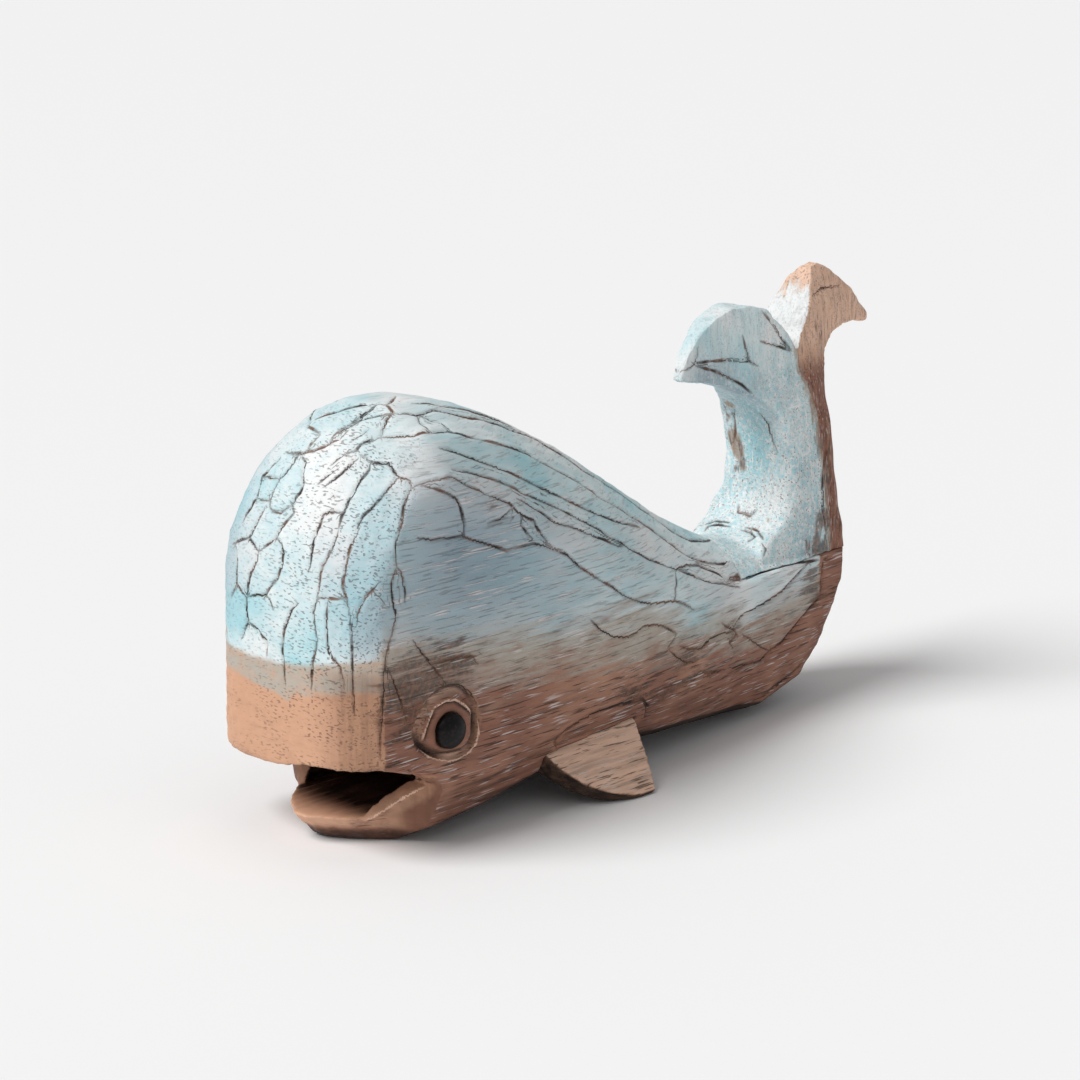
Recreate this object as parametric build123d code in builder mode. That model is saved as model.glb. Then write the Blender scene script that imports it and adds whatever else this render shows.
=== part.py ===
"""A hewn wooden whale: body, glued-on tail with fore-and-aft flukes, two fins, bead eyes and dowels.

The frame stands on the table: +X runs from snout to tail, -Y is the whale's left, +Z is up.
The origin is on the table, under the middle of the figure's length and width.
"""

import os
from math import cos, radians, sin

from build123d import *

os.makedirs("parts", exist_ok=True)

# Body, sawn from one block and hewn to long flat strips
body_length = 139.0
body_width = 42.6
body_height = 76.0
root_length = 34.0
root_front_width = 28.0
root_rear_width = 20.0

# Tail, glued into a level seat with an upright front shoulder
joint_height = 30.0
whale_height = 87.0
rear_overhang = 16.0
fluke_spread = 56.0
stock_thickness = 19.0
fluke_thickness = 9.4
fluke_edge_thickness = 2.2
wall_bevel_length = 5.1
wall_bevel_width = 9.6

# Mouth and lower jaw
jaw_length = 17.0
jaw_rake = 11.5
lip_height = 5.3
lip_rise_start = 7.5
right_lip_rise_start = 15.5
lip_thickness = 1.3
mouth_corner_height = 12.3
mouth_front_height = 18.4
lip_tilt = 6.0
throat_depth = 12.0
throat_height = 6.5
throat_width = 32.4

# Eyes
eye_place = 19.0
eye_height = 21.6
bead_diameter = 6.4
bead_dome = 2.0
bead_seat = 0.8
peg_diameter = 3.0
peg_length = 6.0
ring_diameter = 11.6
ring_width = 2.6
ring_depth = 1.1

# Fins, housed in slots along the lower flanks
fin_place = 56.5
fin_root_length = 24.5
fin_reach = 13.4
fin_thickness = 5.0
fin_edge_thickness = 2.4
fin_droop = 45.0
fin_tongue = 3.0
fin_inset = 4.8
fin_root_height = 9.4

# Dowels and fits
tail_dowel_diameter = 5.0
tail_dowel_length = 16.0
tail_dowel_spacing = 10.0
fin_dowel_diameter = 3.0
fin_dowel_length = 12.0
fin_dowel_spacing = 12.0
glue_gap = 0.1
overrun = 5.0

# Places that follow from the sizes
half_width = body_width / 2
snout_x = -(body_length + rear_overhang) / 2
rear_x = snout_x + body_length
root_x = rear_x - root_length
trunk_length = body_length - root_length
tail_height = whale_height - joint_height
eye_axis = Axis((snout_x + eye_place, 0, eye_height), (0, 1, 0))

# Corners of a hewn section, from the belly up: shares of the section's half width
corner_width_shares = (0.50, 0.84, 1.0, 0.97, 0.70, 0.29)

# Sections of head and trunk: place along the trunk, half width, then the heights of the corners
trunk_shares = (
    (0.000, 0.66, (0.053, 0.092, 0.184, 0.430, 0.522, 0.565)),
    (0.012, 0.82, (0.034, 0.072, 0.171, 0.550, 0.650, 0.695)),
    (0.041, 1.00, (0.013, 0.055, 0.150, 0.665, 0.757, 0.812)),
    (0.081, 1.00, (0.003, 0.050, 0.145, 0.765, 0.838, 0.896)),
    (0.124, 1.00, (0.000, 0.050, 0.145, 0.840, 0.898, 0.952)),
    (0.190, 1.00, (0.000, 0.050, 0.145, 0.858, 0.950, 1.000)),
    (0.267, 1.00, (0.008, 0.060, 0.158, 0.809, 0.938, 0.998)),
    (0.352, 1.00, (0.026, 0.078, 0.184, 0.757, 0.900, 0.970)),
    (0.457, 0.99, (0.052, 0.105, 0.200, 0.658, 0.822, 0.908)),
    (0.590, 0.95, (0.058, 0.108, 0.205, 0.566, 0.718, 0.812)),
    (0.857, 0.78, (0.034, 0.076, 0.164, 0.410, 0.512, 0.580)),
)

# Sections of the tail root: place along the root, then corner heights as shares of the joint's height
root_shares = (
    (0.00, (0.050, 0.145, 0.380, 0.940, 1.110, 1.220)),
    (0.24, (0.025, 0.095, 0.340, 0.970, 1.080, 1.160)),
    (0.62, (0.115, 0.190, 0.420, 1.030, 1.090, 1.150)),
    (0.81, (0.290, 0.360, 0.550, 1.030, 1.090, 1.150)),
    (0.93, (0.480, 0.550, 0.700, 1.030, 1.090, 1.150)),
    (1.00, (0.720, 0.770, 0.850, 1.030, 1.090, 1.150)),
)

# Lower jaw seen from above: place along the jaw and half width, from the tip to the corner
jaw_shares = ((0.14, 0.07), (0.25, 0.20), (0.40, 0.36), (0.61, 0.49), (0.82, 0.64), (1.00, 0.88))
jaw_under_share = 0.38
jaw_lip_start = 2

# Tail's side outline: places forward of the rear fluke's tip along the spread, heights above the seat
fore_hollow_shares = (
    (0.625, 0.15),
    (0.592, 0.21),
    (0.585, 0.28),
    (0.585, 0.40),
    (0.62, 0.505),
    (0.71, 0.59),
    (0.84, 0.64),
)
fore_tip_shares = ((1.00, 0.672), (0.995, 0.70))
fore_crest_shares = (
    (0.965, 0.762),
    (0.915, 0.824),
    (0.845, 0.872),
    (0.765, 0.897),
    (0.69, 0.896),
    (0.615, 0.872),
    (0.55, 0.820),
)
notch_shares = (0.49, 0.72)
rear_wall_shares = (0.375, 0.950)
rear_crest_shares = (
    (0.33, 0.990),
    (0.285, 1.0),
    (0.215, 0.964),
    (0.16, 0.928),
    (0.105, 0.882),
    (0.05, 0.832),
)
rear_tip_shares = ((0.0, 0.782), (0.005, 0.765))
rear_hollow_shares = (
    (0.11, 0.772),
    (0.225, 0.757),
    (0.30, 0.71),
    (0.333, 0.62),
    (0.328, 0.48),
    (0.306, 0.31),
)

# Foot of the hollow, where the stock rises from the back: place along the root, height over the joint
hollow_foot_shares = (0.20, 1.15)
hollow_flats = 13

# Tail's girth: height above the seat, front and rear of the stock along the spread, half width, chamfer
stock_shares = (
    (0.00, 0.780, 0.285, 1.08, 0.06),
    (0.14, 0.690, 0.282, 1.08, 0.22),
    (0.22, 0.612, 0.282, 1.05, 0.34),
    (0.36, 0.590, 0.292, 1.00, 0.32),
    (0.50, 0.640, 0.318, 0.90, 0.20),
)

# Flukes' girth: height above the seat, share of the fluke's thickness left in its middle and at its edges
fluke_shares = ((0.66, 1.40, 1.0), (0.87, 1.0, 1.0), (1.0, 0.30, 0.5))
fluke_middle_shares = (0.55, 0.42)

# Middle of the tail's pair of dowels, forward of the rear end along the root
tail_dowel_share = 0.32

# Fin seen square on: places along the root and reach outwards
fin_lead_shares = ((-0.40, 0.36), (-0.14, 0.78), (0.20, 1.0))
fin_tip_share = 0.36
fin_trail_shares = ((0.415, 0.68), (0.475, 0.25))


def section_points(half, heights):
    """Corners of one hewn section, up the right side and down the left."""
    right = [(half * share, height) for share, height in zip(corner_width_shares, heights)]
    left = [(-y, z) for y, z in reversed(right)]
    return right + left


def body_sections():
    """Place along X, half width and corner heights of every section, from snout to tail root."""
    for place_share, width_share, height_shares in trunk_shares:
        heights = [body_height * share for share in height_shares]
        yield snout_x + trunk_length * place_share, half_width * width_share, heights
    for place_share, height_shares in root_shares:
        half = (root_front_width + (root_rear_width - root_front_width) * place_share) / 2
        heights = [joint_height * share for share in height_shares]
        yield root_x + root_length * place_share, half, heights


def jaw_outline(rake, width_share):
    """The jaw's plan, up the right side and down the left, with its tip drawn back by the rake."""
    side = [
        (
            snout_x + jaw_length * place_share + rake * (1 - place_share),
            half_width * half_share * (width_share + (1 - width_share) * place_share / 2),
        )
        for place_share, half_share in jaw_shares
    ]
    back = (snout_x + jaw_length + overrun, side[-1][1])
    right = side + [back]
    return right + [(x, -y) for x, y in reversed(right)]


def mouth_outline(rise_start, tilt):
    """Side view of the open mouth: where the lower lip rises, and how far the upper lip hangs at the front."""
    lip_middle_height = (mouth_corner_height + mouth_front_height - tilt) / 2
    return [
        (snout_x - overrun, lip_height),
        (snout_x + rise_start, lip_height),
        (snout_x + jaw_length, mouth_corner_height),
        (snout_x + (jaw_length + lip_rise_start) / 2, lip_middle_height),
        (snout_x + lip_rise_start / 2, mouth_front_height - tilt),
        (snout_x - overrun, mouth_front_height - tilt),
    ]


def throat_outline():
    """Plan of the throat: the jaw's plan drawn in by the lip, then narrowing back into the head."""
    lip = [
        (snout_x + jaw_length * place_share + lip_thickness, half_width * half_share - lip_thickness)
        for place_share, half_share in jaw_shares[jaw_lip_start:-1]
    ]
    corner = (snout_x + jaw_length + lip_thickness, throat_width / 2)
    back = (snout_x + jaw_length + throat_depth, throat_width / 4)
    right = [*lip, corner, back]
    return right + [(x, -y) for x, y in reversed(right)]


def seat_outline(gap):
    """Side view of all that lies above the tail's seat and behind its shoulder."""
    front = root_x + gap
    rear = rear_x + rear_overhang + overrun
    low = joint_height + gap
    high = whale_height + overrun
    return [(front, low), (rear, low), (rear, high), (front, high)]


def tail_point(shares):
    """A point of the tail's side outline from its shares of the spread and of the tail's height."""
    place_share, height_share = shares
    return rear_x + rear_overhang - fluke_spread * place_share, joint_height + tail_height * height_share


def hewn_curve(points):
    """Points along a smooth curve, which the knife follows in short flats."""
    curve = Edge.make_spline([Vector(*point) for point in points])
    return [tuple(curve @ (flat / hollow_flats))[:2] for flat in range(hollow_flats + 1)]


def girth_points(places, half, end_half):
    """A plan with level sides between its two middle places, hewn narrower to its front and rear ends."""
    right = list(zip(places, (end_half, half, half, end_half)))
    return right + [(x, -y) for x, y in reversed(right)]


def girth_sections():
    """Level and plan of each section of the tail's girth, from its seat to above the flukes."""
    stock_half = stock_thickness / 2
    for height_share, front_share, rear_share, half_share, chamfer_share in stock_shares:
        front, level = tail_point((front_share, height_share))
        rear, _ = tail_point((rear_share, height_share))
        half = stock_half * half_share
        chamfer = stock_half * chamfer_share
        yield level, girth_points((front, front + chamfer, rear - chamfer, rear), half, half - chamfer)
    for height_share, middle_share, edge_share in fluke_shares:
        places = [tail_point((place_share, height_share))[0] for place_share in (1, *fluke_middle_shares, 0)]
        level = joint_height + tail_height * height_share
        half = fluke_thickness / 2 * middle_share
        yield level, girth_points(places, half, fluke_edge_thickness / 2 * edge_share)


def wall_bevel_sections():
    """Levels and corners of the waste off the rear fluke's left front corner, from the notch to the crest."""
    notch_x, notch_z = tail_point(notch_shares)
    wall_x, wall_z = tail_point(rear_wall_shares)
    wall_lean = (wall_x - notch_x) / (wall_z - notch_z)
    corner_y = -fluke_thickness / 2 * fluke_shares[0][1] - glue_gap
    for level, length, width in (
        (notch_z, glue_gap, glue_gap),
        (whale_height + glue_gap, wall_bevel_length, wall_bevel_width),
    ):
        corner_x = notch_x + wall_lean * (level - notch_z) - glue_gap
        yield level, [(corner_x, corner_y), (corner_x + length, corner_y), (corner_x, corner_y + width)]


def eye_plane(side):
    """Plane on the head's flank at an eye, facing outwards."""
    return Plane(
        origin=(snout_x + eye_place, side * half_width, eye_height),
        x_dir=(1, 0, 0),
        z_dir=(0, side, 0),
    )


def eye_section(side):
    """Plane through an eye's axis: X along the head, Y outwards from the flank."""
    return Plane(
        origin=(snout_x + eye_place, side * half_width, eye_height),
        x_dir=(1, 0, 0),
        z_dir=(0, 0, side),
    )


def fin_plane(side):
    """Plane of a fin: X along the body, Y outwards and down from the root."""
    droop = radians(fin_droop)
    return Plane(
        origin=(snout_x + fin_place, side * (half_width - fin_inset), fin_root_height),
        x_dir=(1, 0, 0),
        z_dir=(0, sin(droop), side * cos(droop)),
    )


def fin_dowel_places(side):
    """Planes square to a fin's dowels, at the middle of each dowel."""
    plane = fin_plane(side)
    return [
        Plane(
            origin=plane.from_local_coords((place, -fin_tongue, 0)),
            x_dir=(1, 0, 0),
            z_dir=plane.y_dir,
        )
        for place in (-fin_dowel_spacing / 2, fin_dowel_spacing / 2)
    ]


def tail_dowel_places():
    """Planes square to the tail's dowels, at the seat, behind the shoulder."""
    middle = rear_x - root_length * tail_dowel_share
    return [
        Plane(origin=(middle + place, 0, joint_height))
        for place in (-tail_dowel_spacing / 2, tail_dowel_spacing / 2)
    ]


# Waste round the lower jaw, which leaves the jaw's rounded plan and raked chin
with BuildPart() as jaw_waste:
    with BuildSketch(Plane.XY.offset(-overrun)):
        with Locations((snout_x + jaw_length / 2 - overrun / 2, 0)):
            Rectangle(jaw_length + overrun, body_width + overrun)
    extrude(amount=overrun + mouth_corner_height)
    for level, rake, share in (
        (-overrun, jaw_rake, jaw_under_share),
        (lip_height, 0, 1),
        (mouth_corner_height + overrun, 0, 1),
    ):
        with BuildSketch(Plane.XY.offset(level)):
            with BuildLine():
                Polyline(jaw_outline(rake, share), close=True)
            make_face()
    loft(ruled=True, mode=Mode.SUBTRACT)

# The hewn form of body and tail foot, in long strips from section to section
with BuildPart() as form:
    for place, half, heights in body_sections():
        with BuildSketch(Plane.YZ.offset(place)):
            with BuildLine():
                Polyline(section_points(half, heights), close=True)
            make_face()
    loft(ruled=True)

# Body: the form with its jaw, mouth, throat, tail seat, eye rings and fin slots cut
with BuildPart() as body:
    add(form.part)
    add(jaw_waste.part, mode=Mode.SUBTRACT)

    # The mouth's lips hang lower on the right, as they were cut
    for offset, rise_start, tilt in (
        (half_width + overrun, lip_rise_start, 0),
        (-half_width - overrun, right_lip_rise_start, lip_tilt),
    ):
        with BuildSketch(Plane.XZ.offset(offset)):
            with BuildLine():
                Polyline(mouth_outline(rise_start, tilt), close=True)
            make_face()
    loft(ruled=True, mode=Mode.SUBTRACT)

    # The throat leaves only a thin lip beside it, and narrows behind the mouth's corners
    with BuildSketch(Plane.XY.offset(lip_height)):
        with BuildLine():
            Polyline(throat_outline(), close=True)
        make_face()
    extrude(amount=mouth_corner_height + throat_height / 2 - lip_height, mode=Mode.SUBTRACT)

    with BuildSketch(Plane.XZ):
        with BuildLine():
            Polyline(seat_outline(0), close=True)
        make_face()
    extrude(amount=body_width, both=True, mode=Mode.SUBTRACT)
    with Locations(*tail_dowel_places()):
        Cylinder(tail_dowel_diameter / 2 + glue_gap, tail_dowel_length + glue_gap * 2, mode=Mode.SUBTRACT)

    for side in (-1, 1):
        with BuildSketch(eye_section(side)):
            with BuildLine():
                Polyline(
                    (ring_diameter / 2 - ring_width, ring_depth),
                    (ring_diameter / 2, -ring_depth),
                    (ring_diameter / 2 + ring_width, ring_depth),
                    close=True,
                )
            make_face()
        revolve(axis=eye_axis, mode=Mode.SUBTRACT)
        with Locations(eye_plane(side)):
            CounterBoreHole(
                radius=peg_diameter / 2 + glue_gap,
                counter_bore_radius=bead_diameter / 2 + glue_gap,
                counter_bore_depth=bead_seat,
                depth=bead_seat + peg_length + glue_gap,
            )
        with BuildSketch(fin_plane(side)):
            with Locations((0, (overrun - fin_tongue - glue_gap) / 2)):
                Rectangle(fin_root_length + glue_gap * 2, overrun + fin_tongue + glue_gap)
        extrude(amount=fin_thickness / 2 + glue_gap, both=True, mode=Mode.SUBTRACT)
        with Locations(*fin_dowel_places(side)):
            Cylinder(fin_dowel_diameter / 2 + glue_gap, fin_dowel_length + glue_gap * 2, mode=Mode.SUBTRACT)

# Foot of the tail, the part of the form above the seat
with BuildPart() as foot:
    add(form.part)
    with BuildSketch(Plane.XZ):
        with BuildLine():
            Polyline(seat_outline(glue_gap), close=True)
        make_face()
    extrude(amount=body_width, both=True, mode=Mode.INTERSECT)

# Girth of the tail, from its seat up past the flukes
with BuildPart() as girth:
    for level, points in girth_sections():
        with BuildSketch(Plane.XY.offset(level)):
            with BuildLine():
                Polyline(points, close=True)
            make_face()
    loft(ruled=True)

# Waste off the left front corner of the rear fluke, cut with one long bevel
with BuildPart() as wall_waste:
    for level, points in wall_bevel_sections():
        with BuildSketch(Plane.XY.offset(level)):
            with BuildLine():
                Polyline(points, close=True)
            make_face()
    loft(ruled=True)

# Tail: the forked side outline, sawn through and hewn to the girth, on its foot of the form
with BuildPart() as tail:
    foot_place_share, foot_height_share = hollow_foot_shares
    hollow_foot_x = root_x + root_length * foot_place_share
    hollow_foot = (hollow_foot_x, joint_height * foot_height_share)
    seat_front = (hollow_foot_x, joint_height + glue_gap)
    seat_rear = (rear_x, joint_height + glue_gap)
    fore_hollow = [tail_point(shares) for shares in fore_hollow_shares]
    fore_tip = [tail_point(shares) for shares in fore_tip_shares]
    fore_crest = [tail_point(shares) for shares in fore_crest_shares]
    rear_crest = [tail_point(shares) for shares in rear_crest_shares]
    rear_tip = [tail_point(shares) for shares in rear_tip_shares]
    rear_hollow = [tail_point(shares) for shares in rear_hollow_shares]
    notch = tail_point(notch_shares)
    wall_top = tail_point(rear_wall_shares)
    with BuildSketch(Plane.XZ):
        with BuildLine():
            Polyline(
                seat_front,
                *hewn_curve([hollow_foot, *fore_hollow, fore_tip[0]]),
                fore_tip[1],
                *fore_crest,
                notch,
                wall_top,
                *rear_crest,
                rear_tip[0],
                *hewn_curve([rear_tip[1], *rear_hollow, seat_rear]),
                close=True,
            )
        make_face()
    extrude(amount=half_width, both=True)
    add(girth.part, mode=Mode.INTERSECT)
    add(wall_waste.part, mode=Mode.SUBTRACT)
    add(foot.part)
    with Locations(*tail_dowel_places()):
        Cylinder(tail_dowel_diameter / 2 + glue_gap, tail_dowel_length + glue_gap * 2, mode=Mode.SUBTRACT)


def make_fin(side):
    """A swept-back fin with a tongue at its root, thinned outwards and flat where it stands."""
    with BuildPart() as fin:
        plane = fin_plane(side)
        half_root = fin_root_length / 2
        lead = [(fin_root_length * place, fin_reach * reach) for place, reach in fin_lead_shares]
        trail = [(fin_root_length * place, fin_reach * reach) for place, reach in fin_trail_shares]
        tip = (fin_root_length * fin_tip_share, fin_reach)
        with BuildSketch(plane):
            with BuildLine():
                Line((half_root, -fin_tongue), (-half_root, -fin_tongue))
                Line((-half_root, -fin_tongue), (-half_root, 0))
                Spline((-half_root, 0), *lead)
                Line(lead[-1], tip)
                Spline(tip, *trail, (half_root, 0))
                Line((half_root, 0), (half_root, -fin_tongue))
            make_face()
        extrude(amount=fin_thickness / 2, both=True)
        with BuildSketch(Plane(origin=plane.origin, x_dir=plane.y_dir, z_dir=(1, 0, 0))):
            with BuildLine():
                Polyline(
                    (-fin_tongue, -fin_thickness / 2),
                    (0, -fin_thickness / 2),
                    (fin_reach, -fin_edge_thickness / 2),
                    (fin_reach, fin_edge_thickness / 2),
                    (0, fin_thickness / 2),
                    (-fin_tongue, fin_thickness / 2),
                    close=True,
                )
            make_face()
        extrude(amount=fin_root_length, both=True, mode=Mode.INTERSECT)
        split(bisect_by=Plane.XY, keep=Keep.TOP)
        with Locations(*fin_dowel_places(side)):
            Cylinder(fin_dowel_diameter / 2 + glue_gap, fin_dowel_length + glue_gap * 2, mode=Mode.SUBTRACT)
    return fin


def make_eye(side):
    """A black bead with a domed head on a peg, its head sunk a little into the flank."""
    dome_radius = ((bead_diameter / 2) ** 2 + bead_dome**2) / (2 * bead_dome)
    with BuildPart() as eye:
        with BuildSketch(eye_section(side)):
            with BuildLine():
                Polyline(
                    (0, bead_dome),
                    (0, -bead_seat - peg_length),
                    (peg_diameter / 2, -bead_seat - peg_length),
                    (peg_diameter / 2, glue_gap - bead_seat),
                    (bead_diameter / 2, glue_gap - bead_seat),
                    (bead_diameter / 2, 0),
                )
                RadiusArc((bead_diameter / 2, 0), (0, bead_dome), -dome_radius)
            make_face()
        revolve(axis=eye_axis)
    return eye


def make_dowels(places, diameter, length):
    """Plain round dowels, one at each place."""
    with BuildPart() as dowels:
        with Locations(*places):
            Cylinder(diameter / 2, length)
    return dowels


pieces = {
    "body": body,
    "tail": tail,
    "tail_dowels": make_dowels(tail_dowel_places(), tail_dowel_diameter, tail_dowel_length),
}
for side, side_name in ((-1, "left"), (1, "right")):
    pieces[f"{side_name}_fin"] = make_fin(side)
    places = fin_dowel_places(side)
    pieces[f"{side_name}_fin_dowels"] = make_dowels(places, fin_dowel_diameter, fin_dowel_length)
    pieces[f"{side_name}_eye"] = make_eye(side)

for name, piece in pieces.items():
    piece.part.label = name
    export_step(piece.part, f"parts/{name}.step")
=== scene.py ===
"""Looks of a hewn wooden whale: scored skin, rubbed blue paint over bare wood, bead eyes and a plain stage."""

import math

import bmesh
import bpy
import numpy as np
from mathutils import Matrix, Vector


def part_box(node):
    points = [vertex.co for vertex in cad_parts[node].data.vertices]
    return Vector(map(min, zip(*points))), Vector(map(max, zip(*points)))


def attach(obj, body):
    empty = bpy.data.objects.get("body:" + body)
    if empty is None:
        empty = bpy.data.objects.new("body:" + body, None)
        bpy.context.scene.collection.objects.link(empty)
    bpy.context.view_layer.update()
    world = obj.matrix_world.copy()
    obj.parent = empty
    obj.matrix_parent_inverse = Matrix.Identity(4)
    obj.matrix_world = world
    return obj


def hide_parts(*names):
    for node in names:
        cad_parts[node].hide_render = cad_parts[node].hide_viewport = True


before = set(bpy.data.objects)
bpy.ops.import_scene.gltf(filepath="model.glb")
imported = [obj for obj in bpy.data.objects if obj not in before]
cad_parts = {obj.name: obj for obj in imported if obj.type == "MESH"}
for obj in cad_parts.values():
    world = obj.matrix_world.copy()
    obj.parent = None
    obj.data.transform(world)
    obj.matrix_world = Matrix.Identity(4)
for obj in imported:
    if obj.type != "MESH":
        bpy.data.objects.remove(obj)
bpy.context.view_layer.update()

bl_info = {
    "name": "Hewn Wooden Whale",
    "version": (1, 0, 0),
    "blender": (4, 5, 0),
    "location": "View3D > Sidebar > Whale",
    "description": "Carves and paints a wooden whale figurine round its fixed frame",
    "category": "Object",
}

MM = 0.001


def mm(*lengths):
    """Lengths in millimetres as metres."""
    return tuple(length * MM for length in lengths)


BODY = "root"
FRAME_PIXELS = 1080
HALF_FRAME = FRAME_PIXELS / 2

# Factors for the mirror image, for the plane of the flank, and for noise drawn out along the grain
MIRROR = (1, -1, 1)
FLAT = (1, 0, 1)
LENGTHWISE = (0.10, 1.0, 1.0)
UPRIGHT = (1.0, 1.0, 0.15)

# Grain of the wood's material: how fast its noise changes along each axis
BODY_GRAIN = (0.05, 0.22, 1.0)
TAIL_GRAIN = (1.0, 1.0, 0.10)
FIN_GRAIN = (0.06, 1.0, 1.0)

# A point with less freedom than this stays where it is
FIXED = 0.001

# Seeds and wavelengths of the relief and of the paint's tone
BODY_RELIEF_SEED, BODY_RELIEF_WAVE = 7, 2.0 * MM
TAIL_RELIEF_SEED, TAIL_RELIEF_WAVE = 9, 1.8 * MM
FIN_RELIEF_SEED, FIN_RELIEF_WAVE = 13, 1.4 * MM
HEWN_SEED, HEWN_WAVE = 21, 7.0 * MM
TONE_SEED, TONE_WAVE = 31, 17 * MM

# Ranges from the seat of the tail, the eye, a cut or the table over which a share goes from 0 to 1
FOOT_BAND = 2 * MM
BEHIND_SHOULDER = mm(-2, -1)
BEFORE_SHOULDER = mm(-3, -1)
UNDER_SEAT = mm(-4, -1)
HEWN_HEIGHT = mm(20, 30)
CUT_BANK = mm(0.3, 0.5)
CUT_CORE = 0.40 * MM
FLANK = 17 * MM
EYE_SKIRT = mm(3.6, 4.2)
EYE_MARGIN = mm(9, 10.5)
EYE_CLEAR = mm(8, 12)
EYE_SMOOTH = mm(4, 6.5)
IRIS_EDGE = mm(3.4, 4.0)
EYE_EDGE_WIDTH = 0.30 * MM
EYE_SHADOW_WIDTH = 0.70 * MM

# Ways round the eye in which the slope of its groove meets the light
LIT_TURNS = (math.radians(120), math.radians(285))

# Pixel of the snout's far lower corner
FAR_CORNER = (233, 745)

# Ranges of the mouth from the snout, across and from the table
FAR_CHEEK = mm(4, 9)
LEAN_RISE, LEAN_FALL = mm(5.5, 13), mm(13.5, 17)
LEAN_FRONT, LEAN_BACK = mm(9, 13), mm(19, 30)
DROP_NEAR, DROP_FAR = mm(-6, 2), mm(14, 20)
DROP_RISE, DROP_FALL, DROP_BACK = mm(13, 14), mm(17, 24), mm(5, 12)
MOUTH_DEPTH, MOUTH_HEIGHT = mm(20, 15)
THROAT_FRONT = mm(8, 13)
THROAT_BACK, THROAT_HALF, THROAT_LOW, THROAT_HIGH = mm(32, 17.5, 5, 17)
JAW_LENGTH = 22 * MM
CHIN_LENGTH, CHIN_HEIGHT = mm(18, 9)
LIP_BAND, LIP_ACROSS, LIP_RISE = mm(1.4, 2.6), mm(12, 15), mm(2.2, 3.6)
UPPER_LIP, SNOUT_FACE = mm(13.5, 1.5)

# Ranges of the paint, the stain and the painted shade on the body
REAR_FADE = mm(-0.5, 0.5)
BELLY_TOP, BELLY_FADE, BELLY_FRONT = 30 * MM, mm(0, 8), mm(14, 22)
SOLE_TOP, SOLE_FADE = 3.2 * MM, mm(0, 1.6)
RUN_WIDTH = 0.6 * MM
SMEAR_ACROSS, SMEAR_TOP = mm(5, 18), mm(33, 36)
DASH_ACROSS = mm(-12, 6)
FLANK_PAINT_RISE = 3.5 * MM
BARE_DROP = 25 * MM
FRONT_FRAY, FLANK_FRAY = mm(0.4, 5.0)
FRONT_FADE, FLANK_FADE = mm(0.7, 4.3)

# Ranges of the tail from its foot, its shoulder, its notch and its top
FOOT_RISE, FOOT_DEPTH = mm(0.8, 5), mm(1, 5)
STOCK_START, STOCK_END = mm(12, 16), mm(30, 38)
TUCK_DEPTH, TUCK_HEIGHT = mm(0.2, 1.6), 12 * MM
FORK_FADE, WALL_MARGIN = mm(-6, 3), 1 * MM
CREST_FADE, CREST_TILT, WALL_PAINT = mm(-6, 3), 0.25, 1.4 * MM
WORN_LEVEL, WORN_DEPTH = 0.45, 6 * MM
FLECK_FRONT, FLECK_FOOT = mm(-9, -2), mm(12, 30)
BROWN_FADE = mm(-1, 1)
TAIL_FRAY, TAIL_FADE, TAIL_WASH = mm(1.6, 0.8, 1.0)

# Ranges of a normal's part along an axis over which a face comes to count as turned that way
FRONT_TURNED, DASH_TURNED, WALL_TURNED, FIN_FRONT_TURNED = (0.35, 0.75), (0.25, 0.5), (0.35, 0.6), (0.3, 0.7)
FLOOR_TURNED, RIM_TURNED, LEVEL_TURNED = (0.3, 0.7), (0.3, 0.6), (0.6, 0.9)
CREST_TURNED, FIN_TOP_TURNED = (0.2, 0.7), (0.0, 0.6)
BELLY_TURNED, FLUKE_UNDER_TURNED, FIN_UNDER_TURNED = (0.28, 0.7), (0.1, 0.5), (-0.1, 0.4)
OUTWARD_TURNED = (0.1, 0.4)
FAR_TURNED, FLANK_TURNED = 0.5, 0.3

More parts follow.
